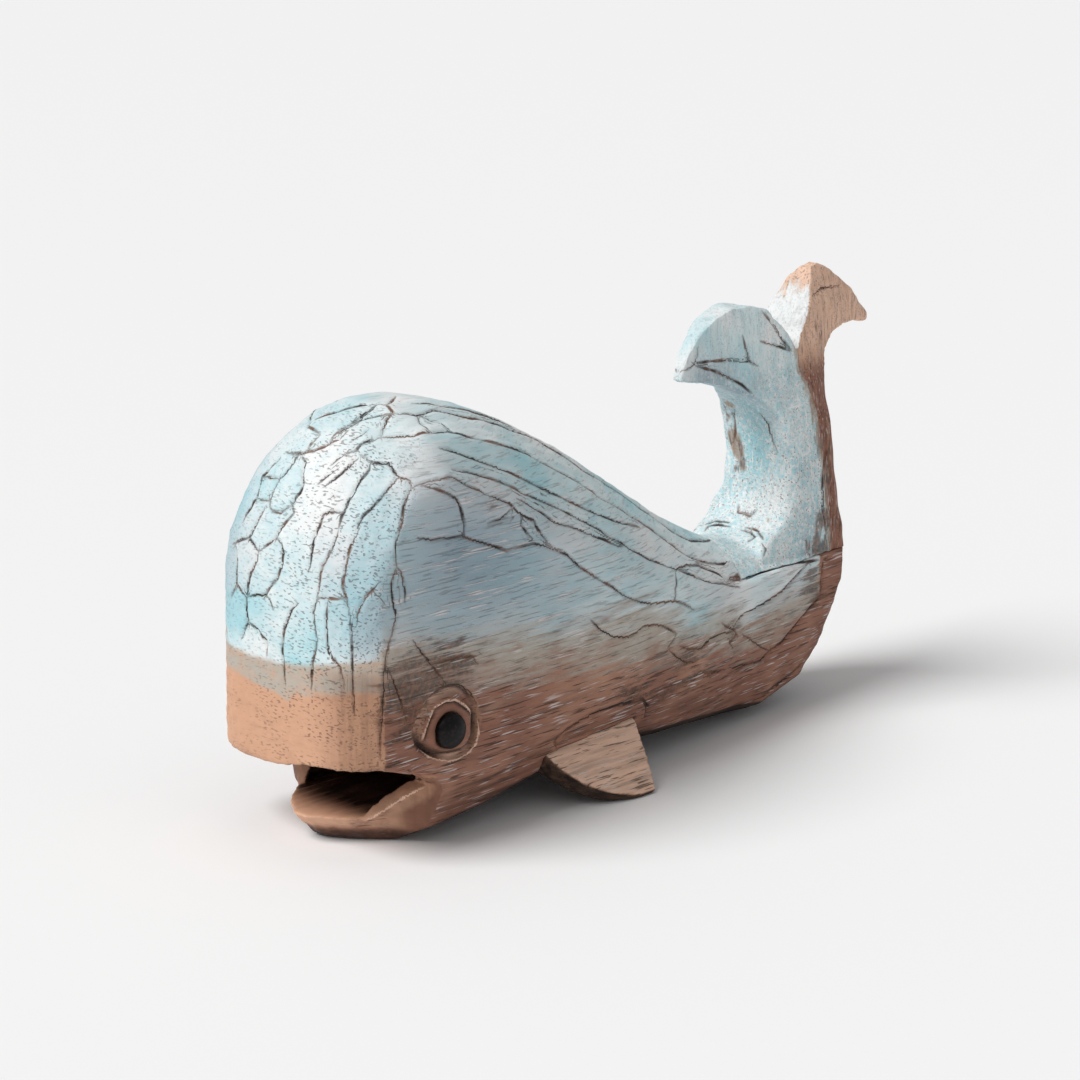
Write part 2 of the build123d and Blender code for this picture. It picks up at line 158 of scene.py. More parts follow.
# Knife cuts on the forehead and the front, read as pixels of the photograph
HEAD_CUTS = (
    ((412, 487), (408, 495), (404, 507), (401, 525), (397, 537), (396, 548), (396, 560), (397, 567)),
    ((397, 567), (394, 577), (392, 583), (392, 595), (394, 605), (397, 617), (394, 628), (391, 638)),
    ((391, 638), (387, 655), (385, 672), (383, 700), (381, 730), (380, 760)),
    ((397, 567), (401, 572), (404, 580), (405, 590), (405, 602)),
    ((400, 477), (397, 479), (390, 487), (382, 497), (372, 508), (362, 517), (359, 522), (357, 532)),
    ((357, 532), (352, 542), (348, 555), (346, 565), (343, 580), (343, 587), (346, 598), (349, 612)),
    ((349, 612), (350, 622), (351, 633), (352, 650), (352, 665), (353, 690), (354, 715)),
    ((371, 462), (368, 472), (361, 480), (355, 490), (348, 502), (344, 512), (341, 518), (338, 530)),
    ((338, 530), (335, 540), (331, 550), (326, 560), (322, 567), (320, 575), (319, 583), (317, 597)),
    ((317, 597), (316, 602), (313, 612), (314, 625), (317, 640)),
    ((366, 457), (371, 462), (376, 463), (388, 463), (392, 468), (395, 473), (400, 477), (410, 480), (412, 487)),
    ((375, 405), (380, 403), (386, 404), (393, 412), (387, 419), (384, 427), (381, 437)),
    ((393, 412), (381, 415), (370, 417), (360, 420), (353, 424), (345, 428), (335, 434), (330, 440)),
    ((375, 405), (365, 413), (357, 420), (347, 425), (338, 431)),
    ((386, 404), (391, 402), (396, 396)),
    ((417, 415), (421, 422), (426, 427), (430, 431)),
    ((417, 415), (422, 416), (432, 420), (442, 423), (448, 428), (452, 431)),
    ((348, 430), (339, 438), (331, 442), (323, 447), (315, 450), (305, 452), (300, 453), (293, 453), (285, 452)),
    ((300, 453), (296, 458), (291, 465), (285, 473), (280, 478), (277, 483), (273, 490), (270, 499), (269, 507)),
    ((269, 507), (272, 511), (280, 513), (287, 508), (291, 506)),
    ((302, 457), (305, 462), (302, 473), (303, 483), (300, 493), (295, 498), (292, 505), (294, 513)),
    ((294, 513), (288, 520), (281, 528), (276, 536), (270, 543), (261, 549), (258, 552)),
    ((258, 552), (256, 562), (251, 572), (248, 583), (246, 597), (246, 610), (248, 622), (245, 628), (241, 639)),
    ((248, 622), (255, 628), (261, 635), (266, 641), (267, 656)),
    ((280, 457), (271, 467), (264, 475), (262, 477), (259, 487), (256, 498), (250, 508), (242, 522)),
    ((262, 477), (270, 477), (280, 479)),
    ((256, 498), (263, 500), (270, 500)),
    ((264, 508), (262, 513), (254, 527), (249, 538), (258, 552)),
    ((249, 538), (240, 540), (233, 544)),
    ((276, 536), (281, 545), (283, 553), (282, 563), (278, 577), (270, 587), (265, 595), (256, 595), (246, 597)),
    ((265, 595), (270, 602), (273, 610)),
    ((235, 545), (237, 560), (236, 584), (242, 593), (246, 597)),
    ((236, 584), (231, 597)),
    ((343, 512), (330, 512), (323, 515), (320, 525), (314, 537), (312, 550), (310, 563), (308, 572)),
    ((298, 603), (292, 609), (288, 618), (284, 630), (282, 645), (283, 662), (285, 685)),
    ((376, 403), (365, 404), (348, 408), (332, 413), (322, 416), (311, 421), (307, 426), (315, 430), (320, 434)),
    ((320, 434), (312, 442), (305, 452)),
    ((358, 458), (348, 467), (340, 475), (330, 482), (323, 487)),
    ((381, 437), (375, 439), (365, 442), (361, 444), (356, 450), (343, 454)),
    ((379, 582), (372, 591), (365, 597), (361, 605), (357, 615), (356, 625)),
    ((372, 591), (379, 598), (385, 605)),
    ((317, 598), (328, 599), (345, 599)),
    ((327, 602), (326, 625), (327, 640), (328, 652), (334, 661), (340, 668), (344, 690)),
    ((317, 640), (315, 652), (312, 664), (311, 690)),
    ((340, 430), (350, 424), (360, 417), (372, 409), (378, 403)),
    ((352, 440), (361, 434), (368, 428)),
    ((331, 465), (341, 456), (349, 450)),
    ((318, 484), (329, 474), (338, 467)),
    ((331, 497), (333, 496), (335, 497)),
    ((360, 454), (362, 455), (365, 457)),
)

# Long strips along the back and the cuts on the flank, which both flanks have
FLANK_CUTS = (
    ((381, 437), (390, 437), (406, 436), (415, 435), (428, 432), (438, 432), (448, 431), (467, 436), (480, 439)),
    ((480, 439), (500, 444), (513, 448), (527, 453), (540, 461), (555, 469), (572, 478), (585, 486), (600, 497)),
    ((600, 497), (613, 504), (627, 513), (640, 521), (650, 528), (660, 535), (668, 541), (677, 548), (685, 554)),
    ((685, 554), (698, 560), (710, 563), (723, 564), (740, 562)),
    ((393, 412), (400, 413), (407, 413), (417, 415), (425, 413), (433, 410), (450, 413), (470, 418), (483, 420)),
    ((483, 420), (497, 424), (512, 430), (525, 434), (538, 440), (553, 449), (567, 458), (580, 468), (600, 480)),
    ((600, 480), (620, 493), (640, 508), (653, 517), (667, 527), (680, 536), (692, 541), (707, 541), (727, 544)),
    ((412, 487), (420, 484), (430, 481), (442, 479), (452, 476), (460, 481), (472, 487), (480, 490), (488, 495)),
    ((488, 495), (500, 499), (510, 503), (518, 512), (528, 518), (535, 521), (537, 528), (543, 535), (548, 543)),
    ((548, 543), (555, 549), (563, 550)),
    ((453, 469), (468, 472), (480, 475), (493, 479), (507, 484), (522, 492), (533, 497), (547, 503), (560, 509)),
    ((560, 509), (580, 519), (597, 528), (610, 536), (622, 543), (635, 551), (647, 558), (660, 563), (667, 566)),
    ((667, 566), (677, 569), (687, 565), (698, 565), (705, 568), (717, 573), (727, 578), (735, 582)),
    ((677, 569), (693, 575), (707, 581), (720, 583), (740, 587)),
    ((676, 571), (676, 588), (676, 601)),
    ((420, 485), (433, 488), (447, 493), (457, 499), (460, 505), (463, 518), (465, 525), (464, 535)),
    ((418, 538), (433, 540), (447, 538), (462, 536), (473, 540), (487, 544), (500, 548), (507, 551), (513, 548)),
    ((513, 548), (523, 546), (533, 543), (547, 547), (557, 550), (568, 555), (580, 567), (590, 573), (600, 580)),
    ((600, 580), (613, 587), (623, 595), (640, 602), (653, 604), (667, 602), (676, 601), (683, 603), (695, 610)),
    ((513, 507), (508, 513), (500, 520), (488, 523)),
    ((521, 515), (522, 525), (527, 533), (533, 539)),
    ((440, 448), (452, 451), (463, 455), (477, 460), (488, 464), (505, 470), (522, 478), (540, 487), (563, 498)),
    ((563, 498), (588, 510), (613, 520), (640, 527)),
    ((413, 402), (438, 405), (460, 408), (480, 414), (500, 420), (513, 427)),
    ((517, 498), (527, 503), (540, 511), (555, 522), (572, 527), (588, 533), (605, 540), (622, 547)),
    ((668, 648), (675, 640), (677, 633)),
    ((668, 648), (677, 657), (688, 663), (697, 662)),
    ((733, 632), (725, 633), (715, 637), (707, 642), (702, 649), (690, 649), (680, 646)),
    ((722, 623), (727, 627), (734, 629), (737, 635), (730, 642), (733, 648)),
    ((742, 634), (752, 640), (760, 646), (770, 651)),
    ((818, 599), (810, 608), (802, 618), (792, 630), (782, 642), (770, 651), (760, 661), (743, 665), (727, 670)),
    ((727, 670), (707, 673), (703, 672)),
    ((591, 620), (601, 630), (614, 637), (629, 637), (638, 632), (645, 626), (655, 625), (664, 626), (676, 633)),
    ((821, 592), (822, 575), (824, 560), (826, 545)),
    ((820, 638), (812, 652), (800, 666), (787, 678), (775, 687), (761, 698)),
    ((413, 640), (422, 652), (432, 665), (440, 675), (446, 683)),
    ((433, 664), (447, 660), (460, 657), (473, 656), (478, 664)),
    ((388, 668), (394, 680), (398, 692), (403, 706), (407, 720)),
    ((746, 579), (757, 573), (775, 568), (794, 563), (819, 560)),
    ((726, 579), (732, 577), (739, 576), (748, 575)),
    ((727, 581), (736, 580), (747, 578)),
    ((408, 770), (414, 775), (420, 779), (427, 782), (435, 784)),
    ((548, 757), (555, 742), (566, 730), (580, 721), (600, 711), (622, 704), (643, 699), (647, 708), (645, 718)),
    ((808, 564), (795, 578), (783, 591), (762, 605), (742, 616), (735, 626)),
)

# Cuts on the tail, which both its sides have
TAIL_CUTS = (
    ((664, 378), (680, 372), (690, 368), (694, 364), (710, 361), (729, 360), (750, 361), (758, 366)),
    ((699, 347), (697, 358), (694, 364)),
    ((760, 341), (775, 345), (792, 351)),
    ((742, 335), (745, 345), (748, 355), (750, 361)),
    ((696, 366), (715, 371), (730, 378), (742, 385), (752, 394)),
    ((760, 414), (768, 425), (772, 440), (776, 452)),
    ((740, 529), (750, 532), (755, 537), (748, 542)),
    ((762, 544), (766, 550), (764, 556)),
    ((746, 579), (757, 573), (775, 568), (794, 563), (819, 560)),
    ((664, 372), (672, 352), (680, 336), (690, 321), (703, 311), (722, 306)),
    ((762, 312), (775, 325), (783, 340), (792, 351)),
    ((813, 296), (822, 288), (840, 285)),
    ((826, 450), (823, 480), (824, 510), (826, 530), (824, 560)),
    ((700, 525), (715, 521), (730, 523)),
    ((741, 512), (750, 516), (756, 510)),
)

# Pale cut edges round the eye and along the lower lip, which both flanks have
PALE_CUTS = (
    ((422, 740), (425, 731), (429, 719), (435, 708), (445, 701), (456, 700), (466, 706), (472, 712), (476, 721)),
    ((421, 746), (428, 756), (437, 759), (451, 761), (460, 758), (470, 752), (476, 744), (479, 733), (477, 718)),
    ((366, 820), (375, 816), (386, 809), (396, 802), (408, 795), (424, 787)),
)

# Groove round the eye, the dark edges inside it, the painted shadows in it, and brown runs down the front
EYE_GROOVE = (
    ((419, 742), (417, 733), (420, 722), (425, 712), (431, 702), (440, 695), (450, 691), (460, 692), (468, 698)),
    ((468, 698), (474, 707), (477, 720), (476, 733), (472, 745), (463, 753), (452, 757), (440, 756), (429, 751)),
    ((429, 751), (423, 747), (419, 742)),
)
EYE_CUTS = (
    ((425, 740), (427, 731), (431, 719), (437, 709), (446, 703), (455, 702), (464, 707), (471, 714)),
    ((420, 738), (423, 746), (430, 752), (440, 755), (450, 754), (458, 752)),
    ((473, 715), (475, 724), (474, 736), (470, 745), (465, 750)),
    ((423, 714), (428, 704), (435, 694), (442, 689), (450, 687), (458, 686), (465, 690), (471, 696), (477, 705)),
    ((416, 731), (415, 738), (418, 745), (421, 750)),
)
EYE_SHADOWS = (
    ((474, 711), (476, 719), (475, 728), (474, 737), (471, 744)),
    ((417, 735), (419, 742), (423, 747), (430, 753), (440, 756)),
)
FRONT_RUNS = (
    ((334, 658), (339, 668), (341, 680), (342, 700), (343, 720), (343, 745)),
    ((349, 650), (351, 665), (353, 690), (354, 715), (355, 748)),
    ((386, 655), (384, 672), (382, 700), (380, 725), (379, 748)),
)

# Pale flakes on the tail
TAIL_CHIPS = (
    ((785, 410), (794, 407), (803, 405), (806, 416), (808, 428), (799, 430), (790, 432)),
    ((806, 428), (809, 440), (810, 452), (803, 456), (797, 446)),
    ((664, 376), (680, 369), (692, 364)),
    ((793, 402), (798, 399), (803, 404)),
)

# Front edge of the bare wood at the rear end, which both flanks have
REAR_EDGE = ((820, 574), (820, 592), (808, 610), (797, 624), (786, 638), (766, 655))

# Lower edges of the blue paint and of the grey wash, from the far front edge to the tail
PAINT_EDGE = (
    (228, 642), (240, 650), (252, 655), (267, 660), (282, 664), (310, 665), (345, 663), (384, 661), (430, 659),
    (480, 656), (540, 649), (594, 639), (646, 627), (675, 637), (694, 646), (713, 633), (732, 627), (751, 637),
    (770, 625), (799, 612), (814, 600),
)
WASH_EDGE = (
    (230, 667), (245, 677), (261, 686), (275, 691), (288, 701), (296, 693), (306, 697), (320, 693), (339, 696),
    (360, 694), (382, 694), (430, 690), (480, 684), (540, 676), (600, 664), (680, 655), (740, 650), (800, 622),
)

# Rear edge of the blue paint on the tail, from the notch down
TAIL_PAINT_EDGE = (
    (793, 352), (797, 360), (806, 396), (813, 416), (818, 450), (823, 472), (826, 506), (827, 535), (824, 560),
)

# Dark stains: pixel of the photograph, radius in millimetres and strength
BODY_STAINS = (
    (405, 680, 5.0, 0.50), (412, 700, 5.0, 0.45), (440, 668, 6.0, 0.45), (465, 668, 5.0, 0.35), (400, 732, 4.0, 0.4),
    (735, 640, 4.0, 0.35), (690, 655, 5.0, 0.35), (810, 575, 3.0, 0.50), (815, 595, 4.0, 0.45), (790, 600, 4.0, 0.3),
    (495, 516, 3.0, 0.30), (660, 690, 6.0, 0.20), (700, 672, 4.0, 0.30), (630, 700, 5.0, 0.35), (738, 578, 1.0, 0.9),
)
TAIL_STAINS = (
    (824, 520, 2.2, 0.80), (822, 548, 2.6, 0.70), (829, 440, 5.0, 0.45), (832, 335, 2.5, 0.35), (826, 480, 2.0, 0.5),
    (733, 437, 2.6, 0.40), (739, 462, 2.4, 0.35), (728, 412, 2.2, 0.35), (812, 545, 3.0, 0.35), (820, 330, 3.0, 0.3),
)

# Places on the tail where the paint is worn through: pixel, radius in millimetres and strength
TAIL_WORN = (
    (729, 405, 2.0, 0.62), (734, 437, 2.2, 0.80), (739, 452, 1.9, 0.75), (743, 468, 1.4, 0.60), (768, 520, 0.8, 0.6),
)

# Tints of the paint: pixel, radius in millimetres, and how much bluer or, below 0, whiter
BODY_TINTS = (
    (340, 472, 6.0, -1.2), (322, 502, 6.0, -1.4), (355, 446, 5.0, -1.0), (308, 470, 4.0, -0.6), (300, 528, 4.0, -1.1),
    (265, 560, 3.5, -0.3), (300, 562, 4.0, 1.00), (306, 592, 4.0, 0.80), (400, 425, 6.0, -0.5), (394, 512, 4.0, 1.1),
    (388, 562, 4.5, 0.90), (275, 582, 3.0, 0.80), (264, 525, 2.5, 0.70), (345, 415, 5.0, -1.0), (470, 450, 6.0, 0.3),
    (545, 478, 8.0, -0.2), (430, 460, 5.0, -0.8), (490, 492, 3.0, -1.6), (640, 545, 6.0, 0.20), (300, 630, 5.0, 1.0),
    (372, 620, 4.5, 0.90), (375, 640, 4.0, 0.80), (330, 620, 4.0, -0.6), (335, 560, 3.5, -0.8), (368, 560, 4.0, 0.3),
    (262, 487, 2.5, 0.60), (520, 442, 5.0, 1.00), (770, 582, 4.0, -0.8),
    (245, 560, 2.5, -0.4), (258, 615, 3.0, 0.50), (290, 480, 3.0, 0.30), (365, 520, 3.0, 0.1),
)
TAIL_TINTS = (
    (752, 440, 5.0, 1.60), (748, 408, 4.0, 1.20), (770, 502, 4.0, -1.1), (742, 506, 4.0, -0.6), (765, 540, 4.0, -0.5),
    (700, 332, 5.0, 0.30), (690, 362, 3.0, -1.2), (728, 314, 3.0, -1.0), (775, 385, 4.0, 0.20), (800, 430, 3.5, -0.6),
    (803, 500, 4.0, -0.4), (740, 375, 5.0, 0.80), (757, 470, 4.0, 1.00), (672, 365, 2.0, -1.4), (772, 332, 3.0, -1.0),
)

# Painted shade, a grey-blue over the paint, on the tail and on the body: pixel, radius in millimetres and strength
TAIL_SHADES = (
    (700, 373, 3.0, 0.45), (716, 379, 4.0, 0.50), (736, 393, 4.0, 0.45), (768, 384, 4.0, 0.20), (790, 395, 4.0, 0.2),
    (805, 470, 4.0, 0.20), (812, 520, 4.0, 0.35), (805, 552, 4.0, 0.30),
)

BODY_SHADES = (
    (440, 515, 9.0, 0.50), (490, 535, 10.0, 0.50), (430, 600, 12.0, 0.55), (500, 600, 14.0, 0.50),
    (570, 590, 12.0, 0.40), (640, 575, 10.0, 0.25), (720, 610, 8.0, 0.30), (798, 588, 4.0, 0.45),
    (782, 604, 4.0, 0.45), (764, 617, 4.0, 0.5), (372, 590, 8.0, 0.30), (378, 640, 4.0, 0.40),
    (350, 640, 4.0, 0.20), (545, 530, 5.0, 0.25), (330, 560, 4.0, 0.15),
)

# Fresher wood on the brown flank: pixel, radius in millimetres and strength
BODY_FRESH = (
    (560, 690, 6.0, 0.25), (605, 678, 7.0, 0.35), (570, 720, 5.0, 0.15), (692, 668, 4.0, 0.35), (780, 668, 5.0, 0.1),
    (805, 636, 4.0, 0.20), (470, 782, 4.0, 0.20), (640, 665, 5.0, 0.25), (822, 600, 4.0, 0.1),
)


def length_property(name, description, metres):
    """Property for a length in metres."""
    return bpy.props.FloatProperty(name=name, description=description, default=metres, unit="LENGTH")


def angle_property(name, description, degrees):
    """Property for an angle, given in degrees."""
    return bpy.props.FloatProperty(name=name, description=description, default=math.radians(degrees), subtype="ANGLE")


def count_property(name, description, count):
    """Property for a count that isn't negative."""
    return bpy.props.IntProperty(name=name, description=description, default=count, min=0)


def colour_property(name, description, colour):
    """Property for a colour."""
    return bpy.props.FloatVectorProperty(name=name, description=description, default=colour, size=3, subtype="COLOR")


class WhaleCarving(bpy.types.PropertyGroup):
    """How finely the skin is made and how deep the knife went."""

    body_square: length_property("Body Square", "Size of the squares of the body's skin", 0.36 * MM)
    tail_square: length_property("Tail Square", "Size of the squares of the tail's skin", 0.27 * MM)
    fin_square: length_property("Fin Square", "Size of the squares of a fin's skin", 0.24 * MM)
    cut_depth: length_property("Cut Depth", "Depth of a knife cut", 0.30 * MM)
    cut_width: length_property("Cut Width", "Half width of a knife cut", 0.36 * MM)
    cut_reach: length_property("Cut Reach", "How far from a cut it still shows", 1.0 * MM)
    chip_height: length_property("Chip Height", "Height of a torn pale edge", 0.30 * MM)
    ring_width: length_property("Ring Width", "Half width of the groove round an eye", 0.85 * MM)
    ring_sink: length_property("Ring Sink", "Depth of the groove round an eye", 0.95 * MM)
    lip_lean: length_property("Lip Lean", "How far the far corner of the mouth leans back", 5.0 * MM)
    lip_drop: length_property("Lip Drop", "How far the upper lip hangs lower on the far side", 0.8 * MM)
    corner_size: length_property("Corner Size", "Size of the rounded far corner of the snout", 5.0 * MM)
    rim_height: length_property("Rim Height", "Height of the body's rim round the foot of the tail", 0.12 * MM)
    foot_tuck: length_property("Foot Tuck", "How far the front edge of the tail's foot is pressed down", 0.22 * MM)
    grain_relief: length_property("Grain Relief", "Height of the raised grain", 0.05 * MM)
    hewn_relief: length_property("Hewn Relief", "Height of the shallow flats on the tail", 0.14 * MM)
    bead_dome: length_property("Bead Dome", "Height of the dome of an eye bead", 2.0 * MM)
    bead_rim: length_property("Bead Rim", "Height of the rim below the dome", 0.6 * MM)
    soft_rounds: count_property("Soft Rounds", "Rounds that soften the body's edges", 4)
    eye_rounds: count_property("Eye Rounds", "Rounds that draw the skin flat round an eye", 260)
    corner_rounds: count_property("Corner Rounds", "Rounds that round the far corner of the snout", 140)
    flat_rounds: count_property("Flat Rounds", "Rounds that draw the skin flat between cuts", 110)
    even_rounds: count_property("Even Rounds", "Rounds that even out the paint between cuts", 260)
    tail_rounds: count_property("Tail Rounds", "Rounds that soften the tail's edges", 16)
    stock_rounds: count_property("Stock Rounds", "Rounds that round the tail's stock", 420)
    fin_rounds: count_property("Fin Rounds", "Rounds that soften a fin's edges", 10)
    most_triangles: count_property("Most Triangles", "Triangles that a wooden piece may have", 190000)


class WhaleFinish(bpy.types.PropertyGroup):
    """Colours of the paint, the wood and the beads, and those of painted shade and painted highlights."""

    blue: colour_property("Blue Paint", "Full blue paint", (0.40, 0.69, 0.75))
    pale: colour_property("Pale Paint", "Paint rubbed pale", (0.86, 0.88, 0.88))
    wash: colour_property("Grey Wash", "Thin wash below the paint", (0.47, 0.43, 0.37))
    # Painted shade: the grey-blue that the blue paint turns where less light falls
    shaded_blue: colour_property("Slate Paint", "Paint gone grey", (0.25, 0.345, 0.41))
    tan: colour_property("Tan Wood", "Freshly cut wood", (0.66, 0.37, 0.235))
    # Cream also serves for painted light on lit slopes, crests and the tops of the fins
    cream: colour_property("Cream Wood", "Palest torn wood", (0.90, 0.61, 0.46))
    rust: colour_property("Rust Brown", "Bare wood in shallow cuts", (0.18, 0.085, 0.05))
    umber: colour_property("Umber", "Broad dark stains", (0.070, 0.042, 0.032))
    brown: colour_property("Brown Wood", "Stained wood", (0.30, 0.135, 0.09))
    # The dark stain also serves for painted shade
    stain: colour_property("Dark Stain", "Stain in cuts and pores", (0.024, 0.013, 0.009))
    # Pale raised fibres, painted with their highlight
    sliver_highlight: colour_property("Sliver", "Raised pale fibres", (0.78, 0.70, 0.69))
    bead: colour_property("Bead", "Black of the eye beads", (0.004, 0.0035, 0.004))
    dowel: colour_property("Dowel Wood", "Turned wood of the dowels", (0.60, 0.42, 0.26))


class WhaleStage(bpy.types.PropertyGroup):
    """Camera, light and floor."""

    azimuth: angle_property("Azimuth", "Camera's turn round the figure", -45.0)
    elevation: angle_property("Elevation", "Camera's angle above the table", 14.5)
    distance: length_property("Distance", "From the camera to its target", 0.527)
    near: length_property("Near", "Nearest distance that the camera sees", 0.01)
    target: bpy.props.FloatVectorProperty(
        name="Target", description="Where the camera looks", default=(-0.0155, 0.0, 0.0436), size=3, subtype="XYZ"
    )
    lens: bpy.props.FloatProperty(name="Lens", description="Focal length in millimetres", default=95.0)
    sensor: bpy.props.FloatProperty(name="Sensor", description="Sensor width in millimetres", default=36.0)
    key_strength: bpy.props.FloatProperty(name="Key", description="Strength of the key light", default=2.35)
    key_spread: angle_property("Key Spread", "How broad the key light is", 32.0)
    key_way: bpy.props.FloatVectorProperty(
        name="Key Way", description="Way of the key light", default=(0.60, -0.22, -0.77), size=3, subtype="DIRECTION"
    )
    fill_strength: bpy.props.FloatProperty(name="Fill", description="Strength of the light all round", default=0.36)
    floor: colour_property("Floor", "Colour of the floor", (0.97, 0.97, 0.97))
    floor_half: length_property("Floor Half", "Half the side of the floor", 4.0)


def eye_of_camera(stage):
    """Camera's place, and the unit vectors that it looks along, to its right and upwards."""
    turn, rise = stage.azimuth, stage.elevation
    back = Vector((math.sin(turn) * math.cos(rise), -math.cos(turn) * math.cos(rise), math.sin(rise)))
    right = Vector((0, 0, 1)).cross(back).normalized()
    return Vector(stage.target) + back * stage.distance, -back, right, back.cross(right)


def on_skin(piece, pixels, stage):
    """Points where the lines of sight through pixels of the photograph meet a piece, as an array."""
    place, ahead, right, up = eye_of_camera(stage)
    spread = stage.sensor / 2 / stage.lens / HALF_FRAME
    found = []
    for across, down in pixels:
        sight = ahead + right * ((across - HALF_FRAME) * spread) + up * ((HALF_FRAME - down) * spread)
        hit, point, _, _ = piece.ray_cast(place, sight.normalized())
        if hit:
            found.append(point)
    return np.array(found, float).reshape(-1, 3)


def cut_lines(piece, tables, stage, mirrored=True):
    """Cuts as lines of points on a piece, with a mirror image for the far side where both sides have them."""
    lines = [on_skin(piece, pixels, stage) for pixels in tables]
    lines = [line for line in lines if len(line) > 1]
    if mirrored:
        lines += [line * MIRROR for line in lines]
    return lines


def edge_on_skin(piece, pixels, stage):
    """Points of a painted edge on a piece, from the lowest up."""
    points = on_skin(piece, pixels, stage)
    return points[np.argsort(points[:, 2])]


def edge_height(piece, pixels, stage, snout, half):
    """Heights of a painted edge against the way round the figure, from its far front edge along its left flank."""
    points = on_skin(piece, pixels, stage)
    way = (points[:, 0] - snout) - (points[:, 1] + half)
    order = np.argsort(way)
    return way[order], points[order, 2]


def corners(node):
    """Lowest and highest corner of a CAD node."""
    return np.array([list(corner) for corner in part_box(node)])


def read_vectors(rows, name):
    """One vector of three numbers for each vertex of a mesh, one row each."""
    flat = np.empty(len(rows) * 3, np.float32)
    rows.foreach_get(name, flat)
    return flat.reshape(-1, 3).astype(float)


def read_points(mesh):
    """Places of all vertices of a mesh."""
    return read_vectors(mesh.vertices, "co")


def read_normals(mesh):
    """Normals of all vertices of a mesh."""
    return read_vectors(mesh.vertex_normals, "vector")


def read_edges(mesh):
    """Pairs of vertices that an edge joins."""
    flat = np.empty(len(mesh.edges) * 2, np.int32)
    mesh.edges.foreach_get("vertices", flat)
    return flat.reshape(-1, 2)


def write_points(mesh, points):
    """Moves all vertices of a mesh."""
    mesh.vertices.foreach_set("co", points.astype(np.float32).ravel())
    mesh.update()


def lay_skin(mesh, points):
    """Moves all vertices of a mesh, and lets the lines of sight meet its new skin."""
    write_points(mesh, points)
    bpy.context.view_layer.update()


def write_field(mesh, name, values):
    """Keeps one number for each vertex under a name that the material reads."""
    field = mesh.attributes.get(name) or mesh.attributes.new(name, "FLOAT", "POINT")
    field.data.foreach_set("value", np.asarray(values, np.float32))


def keep_wood_fields(mesh, lines, lengths, shares):
    """Keeps what the wood's material reads at each vertex: lines and lengths in millimetres, and shares.

    A field that a piece lacks reads as 0.
    """
    for name, (signed, strength) in lines.items():
        write_field(mesh, name, signed / MM)
        write_field(mesh, f"{name}_reach", strength)
    for name, values in lengths.items():
        write_field(mesh, name, np.broadcast_to(values, len(mesh.vertices)) / MM)
    for name, values in shares.items():
        write_field(mesh, name, np.broadcast_to(values, len(mesh.vertices)))


def step(values, low, high):
    """Smooth step from 0 at the low value to 1 at the high one."""
    share = np.clip((values - low) / (high - low), 0.0, 1.0)
    return share * share * (3 - 2 * share)


def blend(share, first, second):
    """Value between two: the first where the share is 0, and the second where it is 1."""
    return first + share * (second - first)


def ripple(points, wavelength, seed, waves=24):
    """Even noise: a sum of plane waves of one length in random directions, about 1 high."""
    draw = np.random.default_rng(seed)
    ways = draw.normal(size=(waves, 3))
    ways *= 2 * math.pi / wavelength / np.linalg.norm(ways, axis=1, keepdims=True)
    phases = draw.uniform(0, 2 * math.pi, waves)
    return np.cos(points @ ways.T + phases).sum(axis=1) * math.sqrt(2 / waves)


def line_field(points, normals, lines, reach):
    """Signed distance of each point from the nearest line, and how strongly that line shows there.

    The distance is taken to the nearest point of the line, with a sign for the side, worked out from the
    line's direction and the skin's normal, out to four reaches. The strength is 1 close to a line, thins out
    over its last stretch and is 0 past its ends or beyond the reach.
    """
    search = 4 * reach
    nearest = np.full(len(points), search)
    signed = np.full(len(points), search)
    strength = np.zeros(len(points))
    for line in lines:
        inside = np.all((points > line.min(axis=0) - search) & (points < line.max(axis=0) + search), axis=1)
        near = np.flatnonzero(inside)
        lengths = np.linalg.norm(np.diff(line, axis=0), axis=1)
        starts = np.concatenate(([0.0], np.cumsum(lengths)))
        for index, length in enumerate(lengths):
            if length == 0 or near.size == 0:
                continue
            way = (line[index + 1] - line[index]) / length
            offset = points[near] - line[index]
            along = offset @ way
            away = offset - np.clip(along, 0, length)[:, None] * way
            distance = np.linalg.norm(away, axis=1)
            closer = distance < nearest[near]
            chosen = near[closer]
            side = np.sign((np.cross(way, normals[chosen]) * away[closer]).sum(axis=1))
            travelled = starts[index] + along[closer]
            to_end = np.minimum(travelled, starts[-1] - travelled)
            nearest[chosen] = distance[closer]
            signed[chosen] = np.where(side == 0, 1.0, side) * distance[closer]
            thin_end = step(to_end, -0.3 * reach, 3 * reach)
            strength[chosen] = 0.5 * thin_end + 0.5 * step(to_end, -0.5 * reach, 0.2 * reach)
    return signed, strength * (1 - step(nearest, 0.6 * reach, reach))


def flank_field(points, normals, lines, reach):
    """Distance and strength of lines as they are seen from the side, in the plane of the flank."""
    return line_field(points * FLAT, normals, [line * FLAT for line in lines], reach)


def trench(line, width):
    """Cross section of a line: its strength times exp(-(distance / width)^2)."""
    signed, strength = line
    return strength * np.exp(-((signed / width) ** 2))


def neighbours(edges, count):
    """Both ends of every edge in turn, the vertices across from them, and the number of edges at each vertex."""
    ends = np.concatenate((edges[:, 0], edges[:, 1]))
    others = np.concatenate((edges[:, 1], edges[:, 0]))
    return ends, others, np.maximum(np.bincount(ends, minlength=count), 1)


